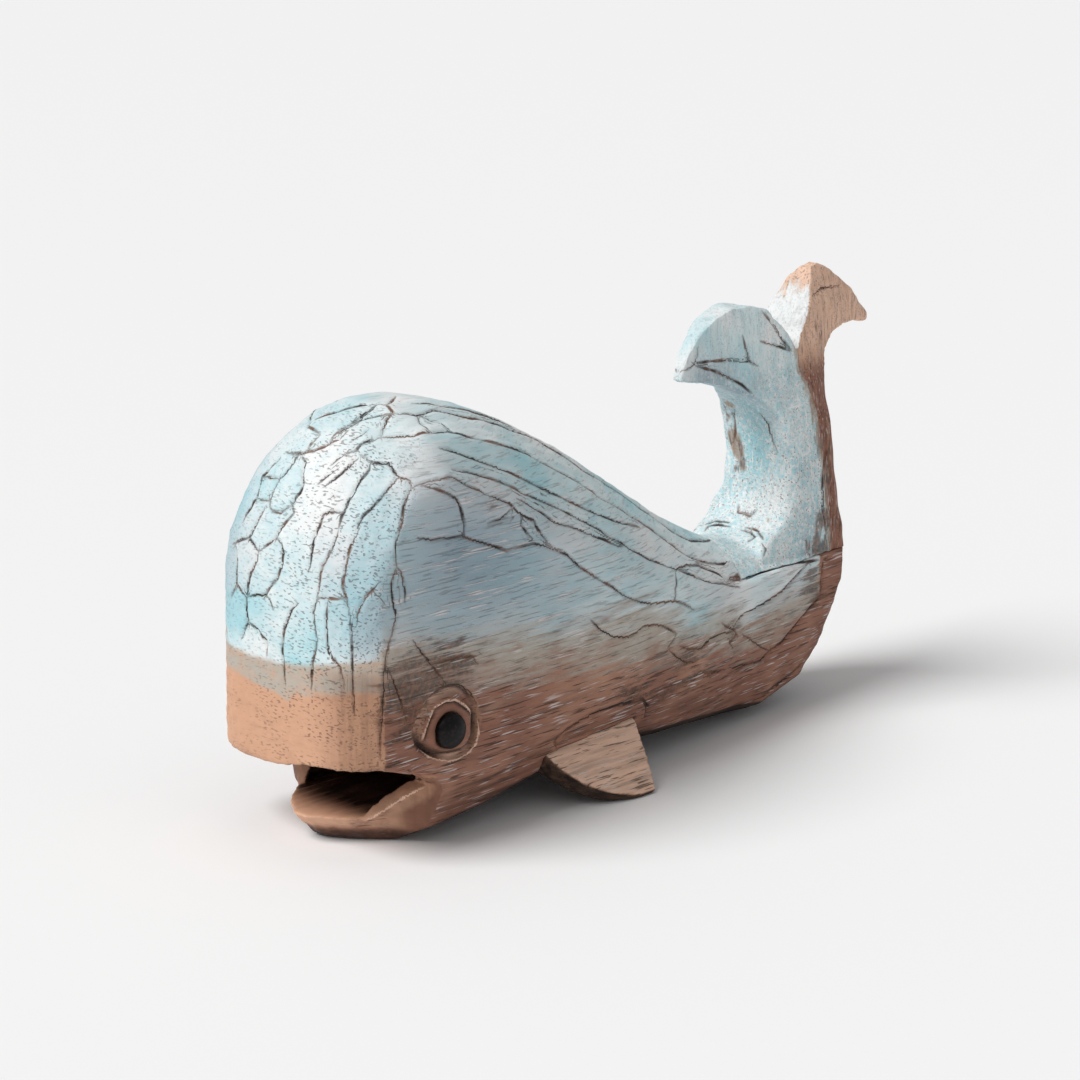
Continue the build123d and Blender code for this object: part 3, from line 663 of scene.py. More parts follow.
def relax(points, edges, free, rounds, swell=0.0):
    """Smooths the skin: in each round a free point goes half way to the mean of its neighbours.

    Each round then takes the share called swell of such a step back, outwards, which keeps thin edges full.
    """
    loose = free > FIXED
    used, compact = np.unique(edges[loose[edges].any(axis=1)], return_inverse=True)
    count = len(used)
    ends, others, degree = neighbours(compact.reshape(-1, 2), count)
    moving = points[used]
    ease = (free * loose)[used, None]
    for _ in range(rounds):
        for share in (0.5, -0.5 * swell):
            if share:
                total = np.stack([np.bincount(ends, row[others], count) for row in moving.T], axis=1)
                moving = moving + share * ease * (total / degree[:, None] - moving)
    points = points.copy()
    points[used] = moving
    return points


def even_out(values, edges, closed, rounds):
    """Evens out numbers at the vertices within the areas between cuts: nothing passes a closed vertex."""
    open_edges = edges[~closed[edges].any(axis=1)]
    ends, others, degree = neighbours(open_edges, len(values))
    alone = np.bincount(ends, minlength=len(values)) == 0
    for _ in range(rounds):
        mean = np.bincount(ends, values[others], len(values)) / degree
        values = np.where(alone, values, (values + mean) / 2)
    return values


def blot_field(piece, points, blots, stage):
    """Sum of soft round blots on the skin, each exp(-(distance / radius)^2), with the flank's on both flanks."""
    total = np.zeros(len(points))
    for across, down, radius, strength in blots:
        found = on_skin(piece, [(across, down)], stage)
        middles = [found[0], found[0] * MIRROR] if len(found) and found[0, 1] < -FLANK else found
        for middle in middles:
            distance = np.linalg.norm(points - middle, axis=1)
            total += strength * np.exp(-((distance / (radius * MM)) ** 2))
    return total


def bake_modifiers(piece):
    """Puts the result of a piece's modifiers into its mesh."""
    graph = bpy.context.evaluated_depsgraph_get()
    baked = bpy.data.meshes.new_from_object(piece.evaluated_get(graph))
    old = piece.data
    piece.modifiers.clear()
    piece.data = baked
    bpy.data.meshes.remove(old)


def even_skin(node, name, square, merge=0.01 * MM):
    """New piece with the form of a CAD node: its merged copy, made again as an even skin of small squares."""
    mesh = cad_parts[node].data.copy()
    work = bmesh.new()
    work.from_mesh(mesh)
    bmesh.ops.remove_doubles(work, verts=work.verts, dist=merge)
    work.to_mesh(mesh)
    work.free()
    mesh.materials.clear()
    piece = bpy.data.objects.new(name, mesh)
    bpy.context.scene.collection.objects.link(piece)
    skin = piece.modifiers.new("skin", "REMESH")
    skin.mode = "VOXEL"
    skin.voxel_size = square
    bake_modifiers(piece)
    bpy.context.view_layer.update()
    return piece


def thin_out(piece, most, low, high):
    """Merges triangles on the flattest stretches of a piece until it has no more than the most.

    Gives the new mesh, its points, kept between the two corners, and its normals.
    """
    piece.data.calc_loop_triangles()
    triangles = len(piece.data.loop_triangles)
    if triangles > most:
        thin = piece.modifiers.new("thin", "DECIMATE")
        thin.ratio = most / triangles
        bake_modifiers(piece)
    points = np.clip(read_points(piece.data), low, high)
    write_points(piece.data, points)
    return piece.data, points, read_normals(piece.data)


def foot_front(points, height):
    """How far forward the foot of the tail reaches, just above the height of its seat."""
    return points[points[:, 2] < height + FOOT_BAND, 0].min()


def seat_piece(piece, material, node):
    """Gives a finished piece its material and slot, rides it on the body and lets it stand for its node."""
    mesh = piece.data
    mesh.polygons.foreach_set("use_smooth", np.ones(len(mesh.polygons), bool))
    mesh.materials.clear()
    mesh.materials.append(material)
    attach(piece, BODY)
    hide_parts(node)
    bpy.context.view_layer.update()


class Field:
    """A socket in a sum: each operator adds the Math node that works it out."""

    def __init__(self, graph, socket):
        self.graph = graph
        self.socket = socket

    def math(self, operation, first, second=0.0):
        return self.graph.node("ShaderNodeMath", {"operation": operation}, {0: first, 1: second})

    def __add__(self, other):
        return self.math("ADD", self, other)

    def __radd__(self, other):
        return self.math("ADD", other, self)

    def __sub__(self, other):
        return self.math("SUBTRACT", self, other)

    def __rsub__(self, other):
        return self.math("SUBTRACT", other, self)

    def __mul__(self, other):
        return self.math("MULTIPLY", self, other)

    def __rmul__(self, other):
        return self.math("MULTIPLY", other, self)

    def __abs__(self):
        return self.math("ABSOLUTE", self)

    def step(self, low, high):
        """Smooth step from 0 at the low value to 1 at the high one."""
        sockets = {"Value": self, "From Min": low, "From Max": high}
        return self.graph.node("ShaderNodeMapRange", {"interpolation_type": "SMOOTHSTEP"}, sockets)


class Graph:
    """Node tree of one material."""

    def __init__(self, name):
        self.material = bpy.data.materials.new(name)
        self.material.use_nodes = True
        self.tree = self.material.node_tree
        self.shader = self.tree.nodes["Principled BSDF"]

    def node(self, kind, settings, sockets, output=0):
        """One node: its type, its settings, which are set first, and the values or links of its sockets."""
        made = self.tree.nodes.new(kind)
        for name, value in settings.items():
            setattr(made, name, value)
        for name, value in sockets.items():
            self.feed(made.inputs[name], value)
        return Field(self, made.outputs[output])

    def feed(self, socket, value):
        """Links a field to a socket, or sets the socket's own value, a colour with full opacity."""
        if isinstance(value, Field):
            self.tree.links.new(value.socket, socket)
        else:
            socket.default_value = (*value, 1.0) if socket.type == "RGBA" else value

    def surface(self, **sockets):
        """Sets or links sockets of the surface shader, named with underscores for spaces."""
        for name, value in sockets.items():
            self.feed(self.shader.inputs[name.replace("_", " ")], value)

    def coords(self, scale):
        """Object coordinates in millimetres, scaled along each axis."""
        place = self.node("ShaderNodeTexCoord", {}, {}, "Object")
        stretch = tuple(part / MM for part in scale)
        return self.node("ShaderNodeVectorMath", {"operation": "MULTIPLY"}, {0: place, 1: stretch})

    def noise(self, vector, scale, detail=2.0, rough=0.5):
        """Smooth noise from 0 to 1 with a mean of a half."""
        sockets = {"Vector": vector, "Scale": scale, "Detail": detail, "Roughness": rough}
        return self.node("ShaderNodeTexNoise", {}, sockets)

    def field(self, name):
        """Number kept at the mesh's vertices under a name."""
        return self.node("ShaderNodeAttribute", {"attribute_name": name}, {}, "Fac")

    def mix(self, factor, first, second):
        """Colour between two colours."""
        return self.node("ShaderNodeMix", {"data_type": "RGBA"}, {0: factor, 6: first, 7: second}, 2)


def wood_material(name, finish, grain):
    """Open-pored wood under rubbed paint.

    Streaks, fibres and pores are noise stretched along the grain. Paint, wash, cuts and bare edges follow
    the numbers kept at the vertices, frayed by the same streaks. Painted shade and painted light follow such numbers
    too.
    """
    graph = Graph(name)
    along = graph.coords(grain)
    loose = graph.coords([math.sqrt(part) for part in grain])
    place = graph.coords((1.0, 1.0, 1.0))
    streak = graph.noise(along, 0.9, 4.0, 0.6)
    fibre = graph.noise(along, 3.4, 1.0)
    groove = graph.noise(along, 2.6, 2.0, 0.6)
    pit = graph.noise(graph.coords((1.0, 0.32, 1.0)), 3.2, 0.0)
    drip = graph.noise(graph.coords((1.0, 1.0, 0.08)), 1.1)
    blotch = graph.noise(place, 0.13, 3.0)
    patch = graph.noise(loose, 0.6, 5.0, 0.65)
    speck = graph.noise(place, 2.6)
    flake = graph.noise(place, 1.3, 3.0, 0.6)
    rubbed = graph.noise(loose, 0.28)

    # Bare wood
    lengthwise = graph.field("fibre")
    grooves = groove.step(0.57, 0.66) * lengthwise
    # Pale raised fibres, painted with their highlight
    sliver_highlights = fibre.step(0.60, 0.68) * rubbed.step(0.34, 0.58) * lengthwise
    pits = pit.step(0.61, 0.71) * rubbed.step(0.30, 0.55) * graph.field("dash")
    wood = graph.mix(graph.field("fresh"), finish.brown, finish.tan)
    # Cream for paler wood, and as painted light where the field asks for it
    wood = graph.mix(graph.field("pale_wood_and_light") * (0.55 + 0.9 * blotch), wood, finish.cream)
    wood = graph.mix(streak.step(0.42, 0.80) * (0.14 + 0.34 * lengthwise), wood, finish.stain)
    wood = graph.mix(blotch.step(0.45, 0.75) * 0.25, wood, finish.tan)
    wood = graph.mix(grooves * 0.68, wood, finish.stain)

    # Wash and paint, mottled where it is flecked
    fade = graph.field("fade")
    frayed = ((streak - 0.5) * 3.0 + (patch - 0.5) * 0.9) * graph.field("fray")
    wash = (graph.field("wash") + frayed).step(0 - fade, fade)
    paint = (graph.field("paint") + frayed).step(0 - fade, fade)
    colour = graph.mix(wash * (patch * 0.7 + blotch * 0.3).step(0.20, 0.60), wood, finish.wash)
    flecked = graph.field("fleck")
    whiter = 0.60 + (blotch - 0.5) * 0.7 + (patch - 0.5) * 1.3 - 0.32 * graph.field("tint")
    whiter = whiter + (flake - 0.5) * flecked * 3.2
    blue = graph.mix(whiter, finish.blue, finish.pale)
    # Painted shade: the blue turns grey-blue where the shade field asks
    blue = graph.mix(graph.field("shade") * (0.75 + 0.5 * patch), blue, finish.shaded_blue)
    blue = graph.mix((flake * 0.6 + fibre * 0.4).step(0.53, 0.58) * flecked * 0.85, blue, finish.pale)
    blue = graph.mix((speck * 0.7 + flake * 0.3).step(0.58, 0.65) * flecked * 0.70, blue, finish.umber)
    worn = (streak * 0.6 + speck * 0.4).step(0.57, 0.72) * 0.30
    colour = graph.mix(paint * (0.97 - worn), colour, blue)

    # Pores, stains, and pale raised fibres painted as highlights, over both
    colour = graph.mix(grooves * 0.32, colour, finish.umber)
    colour = graph.mix(pits * 0.55, colour, finish.umber)
    stain = graph.field("stain")
    ragged = ((streak - 0.5) * 3.0 + (patch - 0.5) * 3.0 + stain * 1.7).step(0.30, 1.00)
    soil = graph.mix(flake.step(0.44, 0.58), finish.umber, finish.rust)
    colour = graph.mix(ragged * stain.step(0.03, 0.22) * 0.78, colour, soil)
    colour = graph.mix(graph.field("smear") * (0.80 + 0.20 * drip.step(0.38, 0.62)), colour, finish.rust)
    colour = graph.mix(sliver_highlights * 0.70, colour, finish.sliver_highlight)

    # Knife cuts, painted shade with the eye's dark edges, and pale torn edges
    cut = abs(graph.field("cut") + (speck - 0.5) * 0.20)
    reach = graph.field("cut_reach")
    width = 0.10 + 0.42 * rubbed * reach
    broken = 0.55 + 0.45 * (patch * 0.5 + streak * 0.5).step(0.40, 0.52)
    line = (1 - cut.step(width * 0.50, width * 1.25)) * reach * broken
    halo = (1 - (cut + (patch - 0.5) * 0.6).step(0.10, 0.65)) * reach
    ink = graph.mix(blotch.step(0.45, 0.60), finish.stain, finish.rust)
    colour = graph.mix(halo * 0.28, colour, finish.rust)
    colour = graph.mix(line * 0.95, colour, ink)
    # Painted shade, in the dark stain colour, with the eye's dark edges
    colour = graph.mix(graph.field("shade_and_dark_cuts") * (0.55 + 0.75 * patch), colour, finish.stain)
    torn = (patch * 0.6 + speck * 0.4).step(0.36, 0.50) * graph.field("chip_reach")
    chip = (1 - abs(graph.field("chip") + (speck - 0.5) * 0.7).step(0.10, 0.36)) * torn
    colour = graph.mix(chip * 0.92, colour, graph.mix(paint, finish.cream, finish.pale))

    height = streak * 0.6 + sliver_highlights * 0.7 - grooves * 0.6 - pits * 0.9 - line * 1.2 + speck * 0.25
    height = height + flake * flecked * 0.8
    bump = graph.node("ShaderNodeBump", {}, {"Strength": 0.65, "Distance": 0.25 * MM, "Height": height}, "Normal")
    graph.surface(Base_Color=colour, Roughness=0.52 + 0.18 * streak, Normal=bump, Specular_IOR_Level=0.28)
    return graph.material


def bead_material(finish):
    """Black bead with a satin gloss, faintly dusty."""
    graph = Graph("eye_bead")
    dust = graph.noise(graph.coords((1.0, 1.0, 1.0)), 1.6, 3.0)
    colour = graph.mix(dust.step(0.5, 0.8) * 0.10, finish.bead, finish.brown)
    graph.surface(Base_Color=colour, Roughness=0.38 + 0.12 * dust, Specular_IOR_Level=0.2)
    return graph.material


def dowel_material(finish):
    """Plain turned wood with a faint grain."""
    graph = Graph("dowel_wood")
    streak = graph.noise(graph.coords((0.6, 0.6, 0.08)), 1.5, 3.0)
    colour = graph.mix(streak.step(0.4, 0.7) * 0.4, finish.dowel, finish.brown)
    graph.surface(Base_Color=colour, Roughness=0.6 + 0.1 * streak)
    return graph.material


class WHALE_OT_body(bpy.types.Operator):
    """Carve and paint the whale's body"""

    bl_idname = "whale.body"
    bl_label = "Carve Body"

    def execute(self, context):
        carving, stage = context.scene.whale_carving, context.scene.whale_stage
        low, high = corners("body")
        eye = corners("left_eye").mean(axis=0)
        foot = read_points(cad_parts["tail"].data)
        seat = foot[:, 2].min()
        shoulder = foot_front(foot, seat)
        piece = even_skin("body", "carved_body", carving.body_square)
        mesh = piece.data
        edges = read_edges(mesh)
        reach = carving.cut_reach

        # The skin is softened, drawn flat round the eyes, and rounded at the far corner of the snout
        points = self.shape_mouth(carving, read_points(mesh), low[0])
        at_seat = step(points[:, 0] - shoulder, *BEHIND_SHOULDER) * step(points[:, 2] - seat, *UNDER_SEAT)
        points = relax(points, edges, 1 - 0.95 * at_seat, carving.soft_rounds)
        from_eye = np.hypot(points[:, 0] - eye[0], points[:, 2] - eye[2])
        round_eye = step(from_eye, *EYE_SKIRT) * (1 - step(from_eye, *EYE_MARGIN))
        round_eye *= np.abs(points[:, 1]) > FLANK / 2
        points = relax(points, edges, round_eye, carving.eye_rounds)
        lay_skin(mesh, points)
        corner = on_skin(piece, [FAR_CORNER], stage)[0]
        near_corner = np.exp(-((points - corner) ** 2).sum(axis=1) / carving.corner_size**2)
        points = relax(points, edges, near_corner, carving.corner_rounds)
        lay_skin(mesh, points)

        # Marks are placed, and the skin of the upper body is drawn flat between its cuts
        cuts = cut_lines(piece, HEAD_CUTS, stage, mirrored=False) + cut_lines(piece, FLANK_CUTS, stage)
        marks = {
            "chips": cut_lines(piece, PALE_CUTS, stage),
            "rings": cut_lines(piece, EYE_GROOVE, stage),
            "shadows": cut_lines(piece, EYE_SHADOWS, stage),
            "runs": cut_lines(piece, FRONT_RUNS, stage, mirrored=False),
            "paint_edge": edge_height(piece, PAINT_EDGE, stage, low[0], high[1]),
            "wash_edge": edge_height(piece, WASH_EDGE, stage, low[0], high[1]),
            "rear_edge": edge_on_skin(piece, REAR_EDGE, stage),
        }
        signed, strength = line_field(points, read_normals(mesh), cuts, reach)
        free = step(points[:, 2], *HEWN_HEIGHT) * step(from_eye, *EYE_CLEAR)
        free *= 1 - step(points[:, 0] - shoulder, *BEFORE_SHOULDER)
        free *= 1 - strength * (1 - step(np.abs(signed), *CUT_BANK))
        points = relax(points, edges, free, carving.flat_rounds)
        lay_skin(mesh, points)

        # Cuts, the groove round the eyes, torn edges, the rim at the tail and raised grain
        marks["eye_cuts"] = cut_lines(piece, EYE_CUTS, stage)
        marks["cuts"] = cuts + marks["eye_cuts"]
        normals = read_normals(mesh)
        signed, strength = line_field(points, normals, marks["cuts"], reach)
        ring, _ = line_field(points, normals, marks["rings"], 2 * reach)
        sink = carving.cut_depth * trench((signed, strength), carving.cut_width)
        shadow = line_field(points, normals, marks["shadows"], 2 * reach)
        sink += carving.cut_depth * trench(shadow, EYE_SHADOW_WIDTH)
        sink += carving.ring_sink * trench((ring, 1.0), carving.ring_width)
        rim = trench((points[:, 0] - shoulder, at_seat), MM) * step(normals[:, 2], *RIM_TURNED)
        chip = line_field(points, normals, marks["chips"], reach)
        lift = carving.chip_height * trench(chip, carving.cut_width) + carving.rim_height * rim
        lift += carving.grain_relief * ripple(points * LENGTHWISE, BODY_RELIEF_WAVE, BODY_RELIEF_SEED)
        points = points + normals * (lift - sink)[:, None]
        write_points(mesh, np.clip(points, low, high))

        # Tone of the paint and its painted shade, even in each area between cuts
        closed = (np.abs(signed) < CUT_CORE) & (strength > 0.3)
        tint = blot_field(piece, points, BODY_TINTS, stage) + 0.8 * ripple(points, TONE_WAVE, TONE_SEED)
        shade = blot_field(piece, points, BODY_SHADES, stage)
        write_field(mesh, "tint", even_out(tint, edges, closed, carving.even_rounds))
        write_field(mesh, "shade", even_out(shade, edges, closed, carving.even_rounds))
        self.paint(context, piece, marks, low, high, eye)
        seat_piece(piece, wood_material("body_wood", context.scene.whale_finish, BODY_GRAIN), "body")
        return {"FINISHED"}

    def shape_mouth(self, carving, points, snout):
        """Leans the far corner of the mouth back with its height, and lets the upper lip hang on that side."""
        from_snout, across, height = points[:, 0] - snout, points[:, 1], points[:, 2]
        lean = step(height, *LEAN_RISE) * (1 - step(height, *LEAN_FALL)) * step(across, *FAR_CHEEK)
        lean *= step(from_snout, *LEAN_FRONT) * (1 - step(from_snout, *LEAN_BACK))
        drop = step(across, *DROP_NEAR) * (1 - step(across, *DROP_FAR))
        drop *= step(height, *DROP_RISE) * (1 - step(height, *DROP_FALL)) * (1 - step(from_snout, *DROP_BACK))
        return points + np.stack((carving.lip_lean * lean, 0 * lean, -carving.lip_drop * drop), axis=1)

    def paint(self, context, piece, marks, low, high, eye):
        """Thins out the carved skin and keeps the numbers that its material reads."""
        carving, stage = context.scene.whale_carving, context.scene.whale_stage
        mesh, points, normals = thin_out(piece, carving.most_triangles, low, high)
        reach = carving.cut_reach
        from_snout, across, height = points[:, 0] - low[0], points[:, 1], points[:, 2]
        way = from_snout - (np.where(normals[:, 1] > FAR_TURNED, -across, across) + high[1])
        front = step(-normals[:, 0], *FRONT_TURNED)
        chip = line_field(points, normals, marks["chips"], reach)

        # Mouth, throat with its painted shade, chin and lips
        in_mouth = (from_snout < MOUTH_DEPTH) * (height < MOUTH_HEIGHT) * step(normals[:, 2], *FLOOR_TURNED)
        throat = step(from_snout, *THROAT_FRONT) * (from_snout < THROAT_BACK) * (np.abs(across) < THROAT_HALF)
        throat *= (height > THROAT_LOW) * (height < THROAT_HIGH)
        outwards = normals[:, 1] * np.sign(across) - normals[:, 0]
        throat *= 1 - step(outwards, *OUTWARD_TURNED) * (from_snout < JAW_LENGTH)
        chin = (from_snout < CHIN_LENGTH) * (height < CHIN_HEIGHT)
        lip = (1 - step(np.abs(across), *LIP_ACROSS)) * step(height, *LIP_RISE)
        lip = np.maximum(lip, 1 - step(np.abs(chip[0]), *LIP_BAND))
        bare_front = np.where((height < UPPER_LIP) * (from_snout > SNOUT_FACE), front * lip, front)

        # Eyes: the groove with its dark edges and painted shadows, painted light on the slopes that face the light,
        # and a darker iris
        from_eye = np.hypot(points[:, 0] - eye[0], height - eye[2])
        beside = (np.abs(normals[:, 1]) > FLANK_TURNED) * (np.abs(across) > FLANK)
        ring, _ = flank_field(points, normals, marks["rings"], 2 * reach)
        groove = trench((ring, beside), carving.ring_width)
        turn = np.arctan2(height - eye[2], points[:, 0] - eye[0])
        facing = np.maximum(np.cos(turn[:, None] - LIT_TURNS), 0)
        lit = facing[:, 0] ** 2 + facing[:, 1] ** 4
        edge = 0.80 * trench(flank_field(points, normals, marks["eye_cuts"], reach), EYE_EDGE_WIDTH)
        shadow = 1.3 * trench(flank_field(points, normals, marks["shadows"], 2 * reach), EYE_SHADOW_WIDTH)
        shadow = np.maximum(edge, shadow) * beside
        iris = (1 - step(from_eye, *IRIS_EDGE)) * beside

        # Bare rear end, painted shade under the belly, brown runs down the front, and a darkening of the front
        # towards the left flank
        rear = marks["rear_edge"]
        bare_rear = step(points[:, 0] - np.interp(height, rear[:, 2], rear[:, 0]), *REAR_FADE)
        belly = step(-normals[:, 2], *BELLY_TURNED) * step(BELLY_TOP - height, *BELLY_FADE)
        belly *= step(from_snout, *BELLY_FRONT)
        belly = np.maximum(belly, 0.85 * step(SOLE_TOP - height, *SOLE_FADE))
        runs = 0.70 * trench(line_field(points, normals, marks["runs"], 2 * reach), RUN_WIDTH)
        smear = np.maximum(runs, 0.58 * step(-across, *SMEAR_ACROSS))

        # Painted shade under the belly, in the throat and on the groove's slopes away from the light, with the eye's
        # dark edges and darker iris
        shade_and_dark_cuts = np.maximum(belly, throat) + shadow + 0.15 * groove * (1 - lit) + 0.25 * iris
        dash = step(-normals[:, 0], *DASH_TURNED) * (0.40 + 0.60 * step(-across, *DASH_ACROSS))
        fibre = (1 - front) * (1 - 0.8 * in_mouth) * step(from_eye, *EYE_SMOOTH)
        fresh = np.maximum(bare_front, in_mouth)
        bare = BARE_DROP * bare_rear
        lines = {"cut": line_field(points, normals, marks["cuts"], reach), "chip": chip}
        lengths = {
            "paint": height - np.interp(way, *marks["paint_edge"]) - FLANK_PAINT_RISE * (1 - front) - bare,
            "wash": height - np.interp(way, *marks["wash_edge"]) - bare,
            "fray": blend(front, FLANK_FRAY, FRONT_FRAY),
            "fade": blend(front, FLANK_FADE, FRONT_FADE),
        }
        shares = {
            "fresh": fresh + blot_field(piece, points, BODY_FRESH, stage) * (1 - front),
            # Paler chin and lip, and painted light on the slopes of the eye's groove that face the light
            "pale_wood_and_light": chin * lip * (0.05 + 0.15 * front) + 0.55 * groove * lit,
            "shade_and_dark_cuts": np.clip(shade_and_dark_cuts, 0.0, 1.0),
            "stain": blot_field(piece, points, BODY_STAINS, stage),
            "smear": smear * front * (1 - step(height, *SMEAR_TOP)),
            "dash": dash * (height > UPPER_LIP),
            "fibre": fibre * (1 - 0.6 * step(normals[:, 2], *LEVEL_TURNED)),
        }
        keep_wood_fields(mesh, lines, lengths, shares)


class WHALE_OT_tail(bpy.types.Operator):
    """Carve and paint the tail with its two flukes"""

    bl_idname = "whale.tail"
    bl_label = "Carve Tail"

    def execute(self, context):
        carving, stage = context.scene.whale_carving, context.scene.whale_stage
        low, high = corners("tail")
        piece = even_skin("tail", "carved_tail", carving.tail_square)
        mesh = piece.data
        points, edges = read_points(mesh), read_edges(mesh)
        reach = carving.cut_reach

        # The skin is softened above the foot, and the stock is rounded
        shoulder = foot_front(points, low[2])
        from_foot, from_shoulder = points[:, 2] - low[2], points[:, 0] - shoulder
        free = step(from_foot, *FOOT_RISE) * step(from_shoulder, *FOOT_DEPTH)
        free = np.maximum(free, step(from_foot, *STOCK_START))
        stock = free * (1 - step(from_foot, *STOCK_END))
        points = relax(points, edges, 0.05 + 0.95 * free, carving.tail_rounds, 0.98)
        points = relax(points, edges, stock, carving.stock_rounds, 0.75)
        lay_skin(mesh, points)

        # Cuts, shallow flats and raised grain, with the front edge of the foot pressed down
        cuts = cut_lines(piece, TAIL_CUTS, stage)
        chips = cut_lines(piece, TAIL_CHIPS, stage)
        edge = edge_on_skin(piece, TAIL_PAINT_EDGE, stage)
        normals = read_normals(mesh)
        sink = carving.cut_depth * trench(line_field(points, normals, cuts, reach), carving.cut_width)
        lift = carving.hewn_relief * free * ripple(points, HEWN_WAVE, HEWN_SEED)
        lift += carving.grain_relief * ripple(points * UPRIGHT, TAIL_RELIEF_WAVE, TAIL_RELIEF_SEED)
        tucked = 1 - step(points[:, 0] - shoulder, *TUCK_DEPTH)
        tucked *= points[:, 2] - low[2] < TUCK_HEIGHT
        points = points + normals * (lift - sink)[:, None] - (0.0, 0.0, carving.foot_tuck) * tucked[:, None]
        write_points(mesh, np.clip(points, low, high))
        mesh, points, normals = thin_out(piece, carving.most_triangles, low, high)

        # Blue before the painted edge and on the wall of the rear fluke, bare wood above the notch
        ahead, across, height = points.T
        notch = edge[-1]
        forward = np.interp(height, edge[:, 2], edge[:, 0]) - ahead
        brown = step(-forward, *BROWN_FADE)
        above = step(height - notch[2], *FORK_FADE)
        wall = step(-normals[:, 0], *WALL_TURNED) * (ahead > notch[0] - WALL_MARGIN)
        wall *= height > notch[2] - WALL_MARGIN
        crest = step(height + CREST_TILT * (across - low[1]) - high[2], *CREST_FADE)
        on_wall = WALL_PAINT * (1 - 2 * crest)
        worn = blot_field(piece, points, TAIL_WORN, stage)
        foot = 1 - step(height - low[2], *FLECK_FOOT)
        flecked = 0.50 + 0.30 * step(ahead - notch[0], *FLECK_FRONT) + 0.35 * foot
        # Painted shade on the faces that turn downwards below the notch
        under = 0.30 * step(-normals[:, 2], *FLUKE_UNDER_TURNED) * (1 - above)
        lines = {"cut": line_field(points, normals, cuts, reach), "chip": line_field(points, normals, chips, reach)}
        lengths = {
            "paint": np.minimum(np.where(wall > 0.5, on_wall, forward), (WORN_LEVEL - worn) * WORN_DEPTH),
            "wash": np.where(wall > 0.5, on_wall, forward + TAIL_WASH),
            "fray": TAIL_FRAY,
            "fade": TAIL_FADE,
        }
        shares = {
            "fresh": above,
            # Paler bare wood above the notch, with painted light on its faces that turn upwards
            "pale_wood_and_light": above * (0.70 + 0.25 * step(normals[:, 2], *CREST_TURNED)),
            "stain": blot_field(piece, points, TAIL_STAINS, stage),
            "tint": blot_field(piece, points, TAIL_TINTS, stage) - 1.8 * wall,
            "shade": under + blot_field(piece, points, TAIL_SHADES, stage),
            "dash": (0.30 + 0.30 * brown) * (1 - 0.7 * wall),
            "fibre": 0.40 + 0.45 * brown * (1 - 0.7 * above),
            "fleck": flecked * (1 - above),
        }
        keep_wood_fields(mesh, lines, lengths, shares)
        seat_piece(piece, wood_material("tail_wood", context.scene.whale_finish, TAIL_GRAIN), "tail")
        return {"FINISHED"}


class WHALE_OT_fins(bpy.types.Operator):
    """Carve both fins"""

    bl_idname = "whale.fins"
    bl_label = "Carve Fins"

    def execute(self, context):
        carving = context.scene.whale_carving
        material = wood_material("fin_wood", context.scene.whale_finish, FIN_GRAIN)
        for node in ("left_fin", "right_fin"):
            low, high = corners(node)
            piece = even_skin(node, f"carved_{node}", carving.fin_square)
            mesh = piece.data
            points = read_points(mesh)
            points = relax(points, read_edges(mesh), np.ones(len(points)), carving.fin_rounds)
            write_points(mesh, points)
            lift = carving.grain_relief * ripple(points * LENGTHWISE, FIN_RELIEF_WAVE, FIN_RELIEF_SEED)
            write_points(mesh, np.clip(points + read_normals(mesh) * lift[:, None], low, high))
            normals = read_normals(mesh)
            # Painted light on the upper faces, painted shade on the undersides and the front edge
            upper = step(normals[:, 2], *FIN_TOP_TURNED)
            front = step(-normals[:, 0], *FIN_FRONT_TURNED)
            lengths = {"paint": -BARE_DROP, "wash": -BARE_DROP, "fray": MM, "fade": MM}
            shares = {
                "fresh": 0.50 + 0.50 * upper,
                "pale_wood_and_light": 0.95 * upper,
                "shade_and_dark_cuts": np.maximum(step(-normals[:, 2], *FIN_UNDER_TURNED), 0.85 * front),
                "fibre": 0.95,
            }
            keep_wood_fields(mesh, {}, lengths, shares)
            seat_piece(piece, material, node)
        return {"FINISHED"}


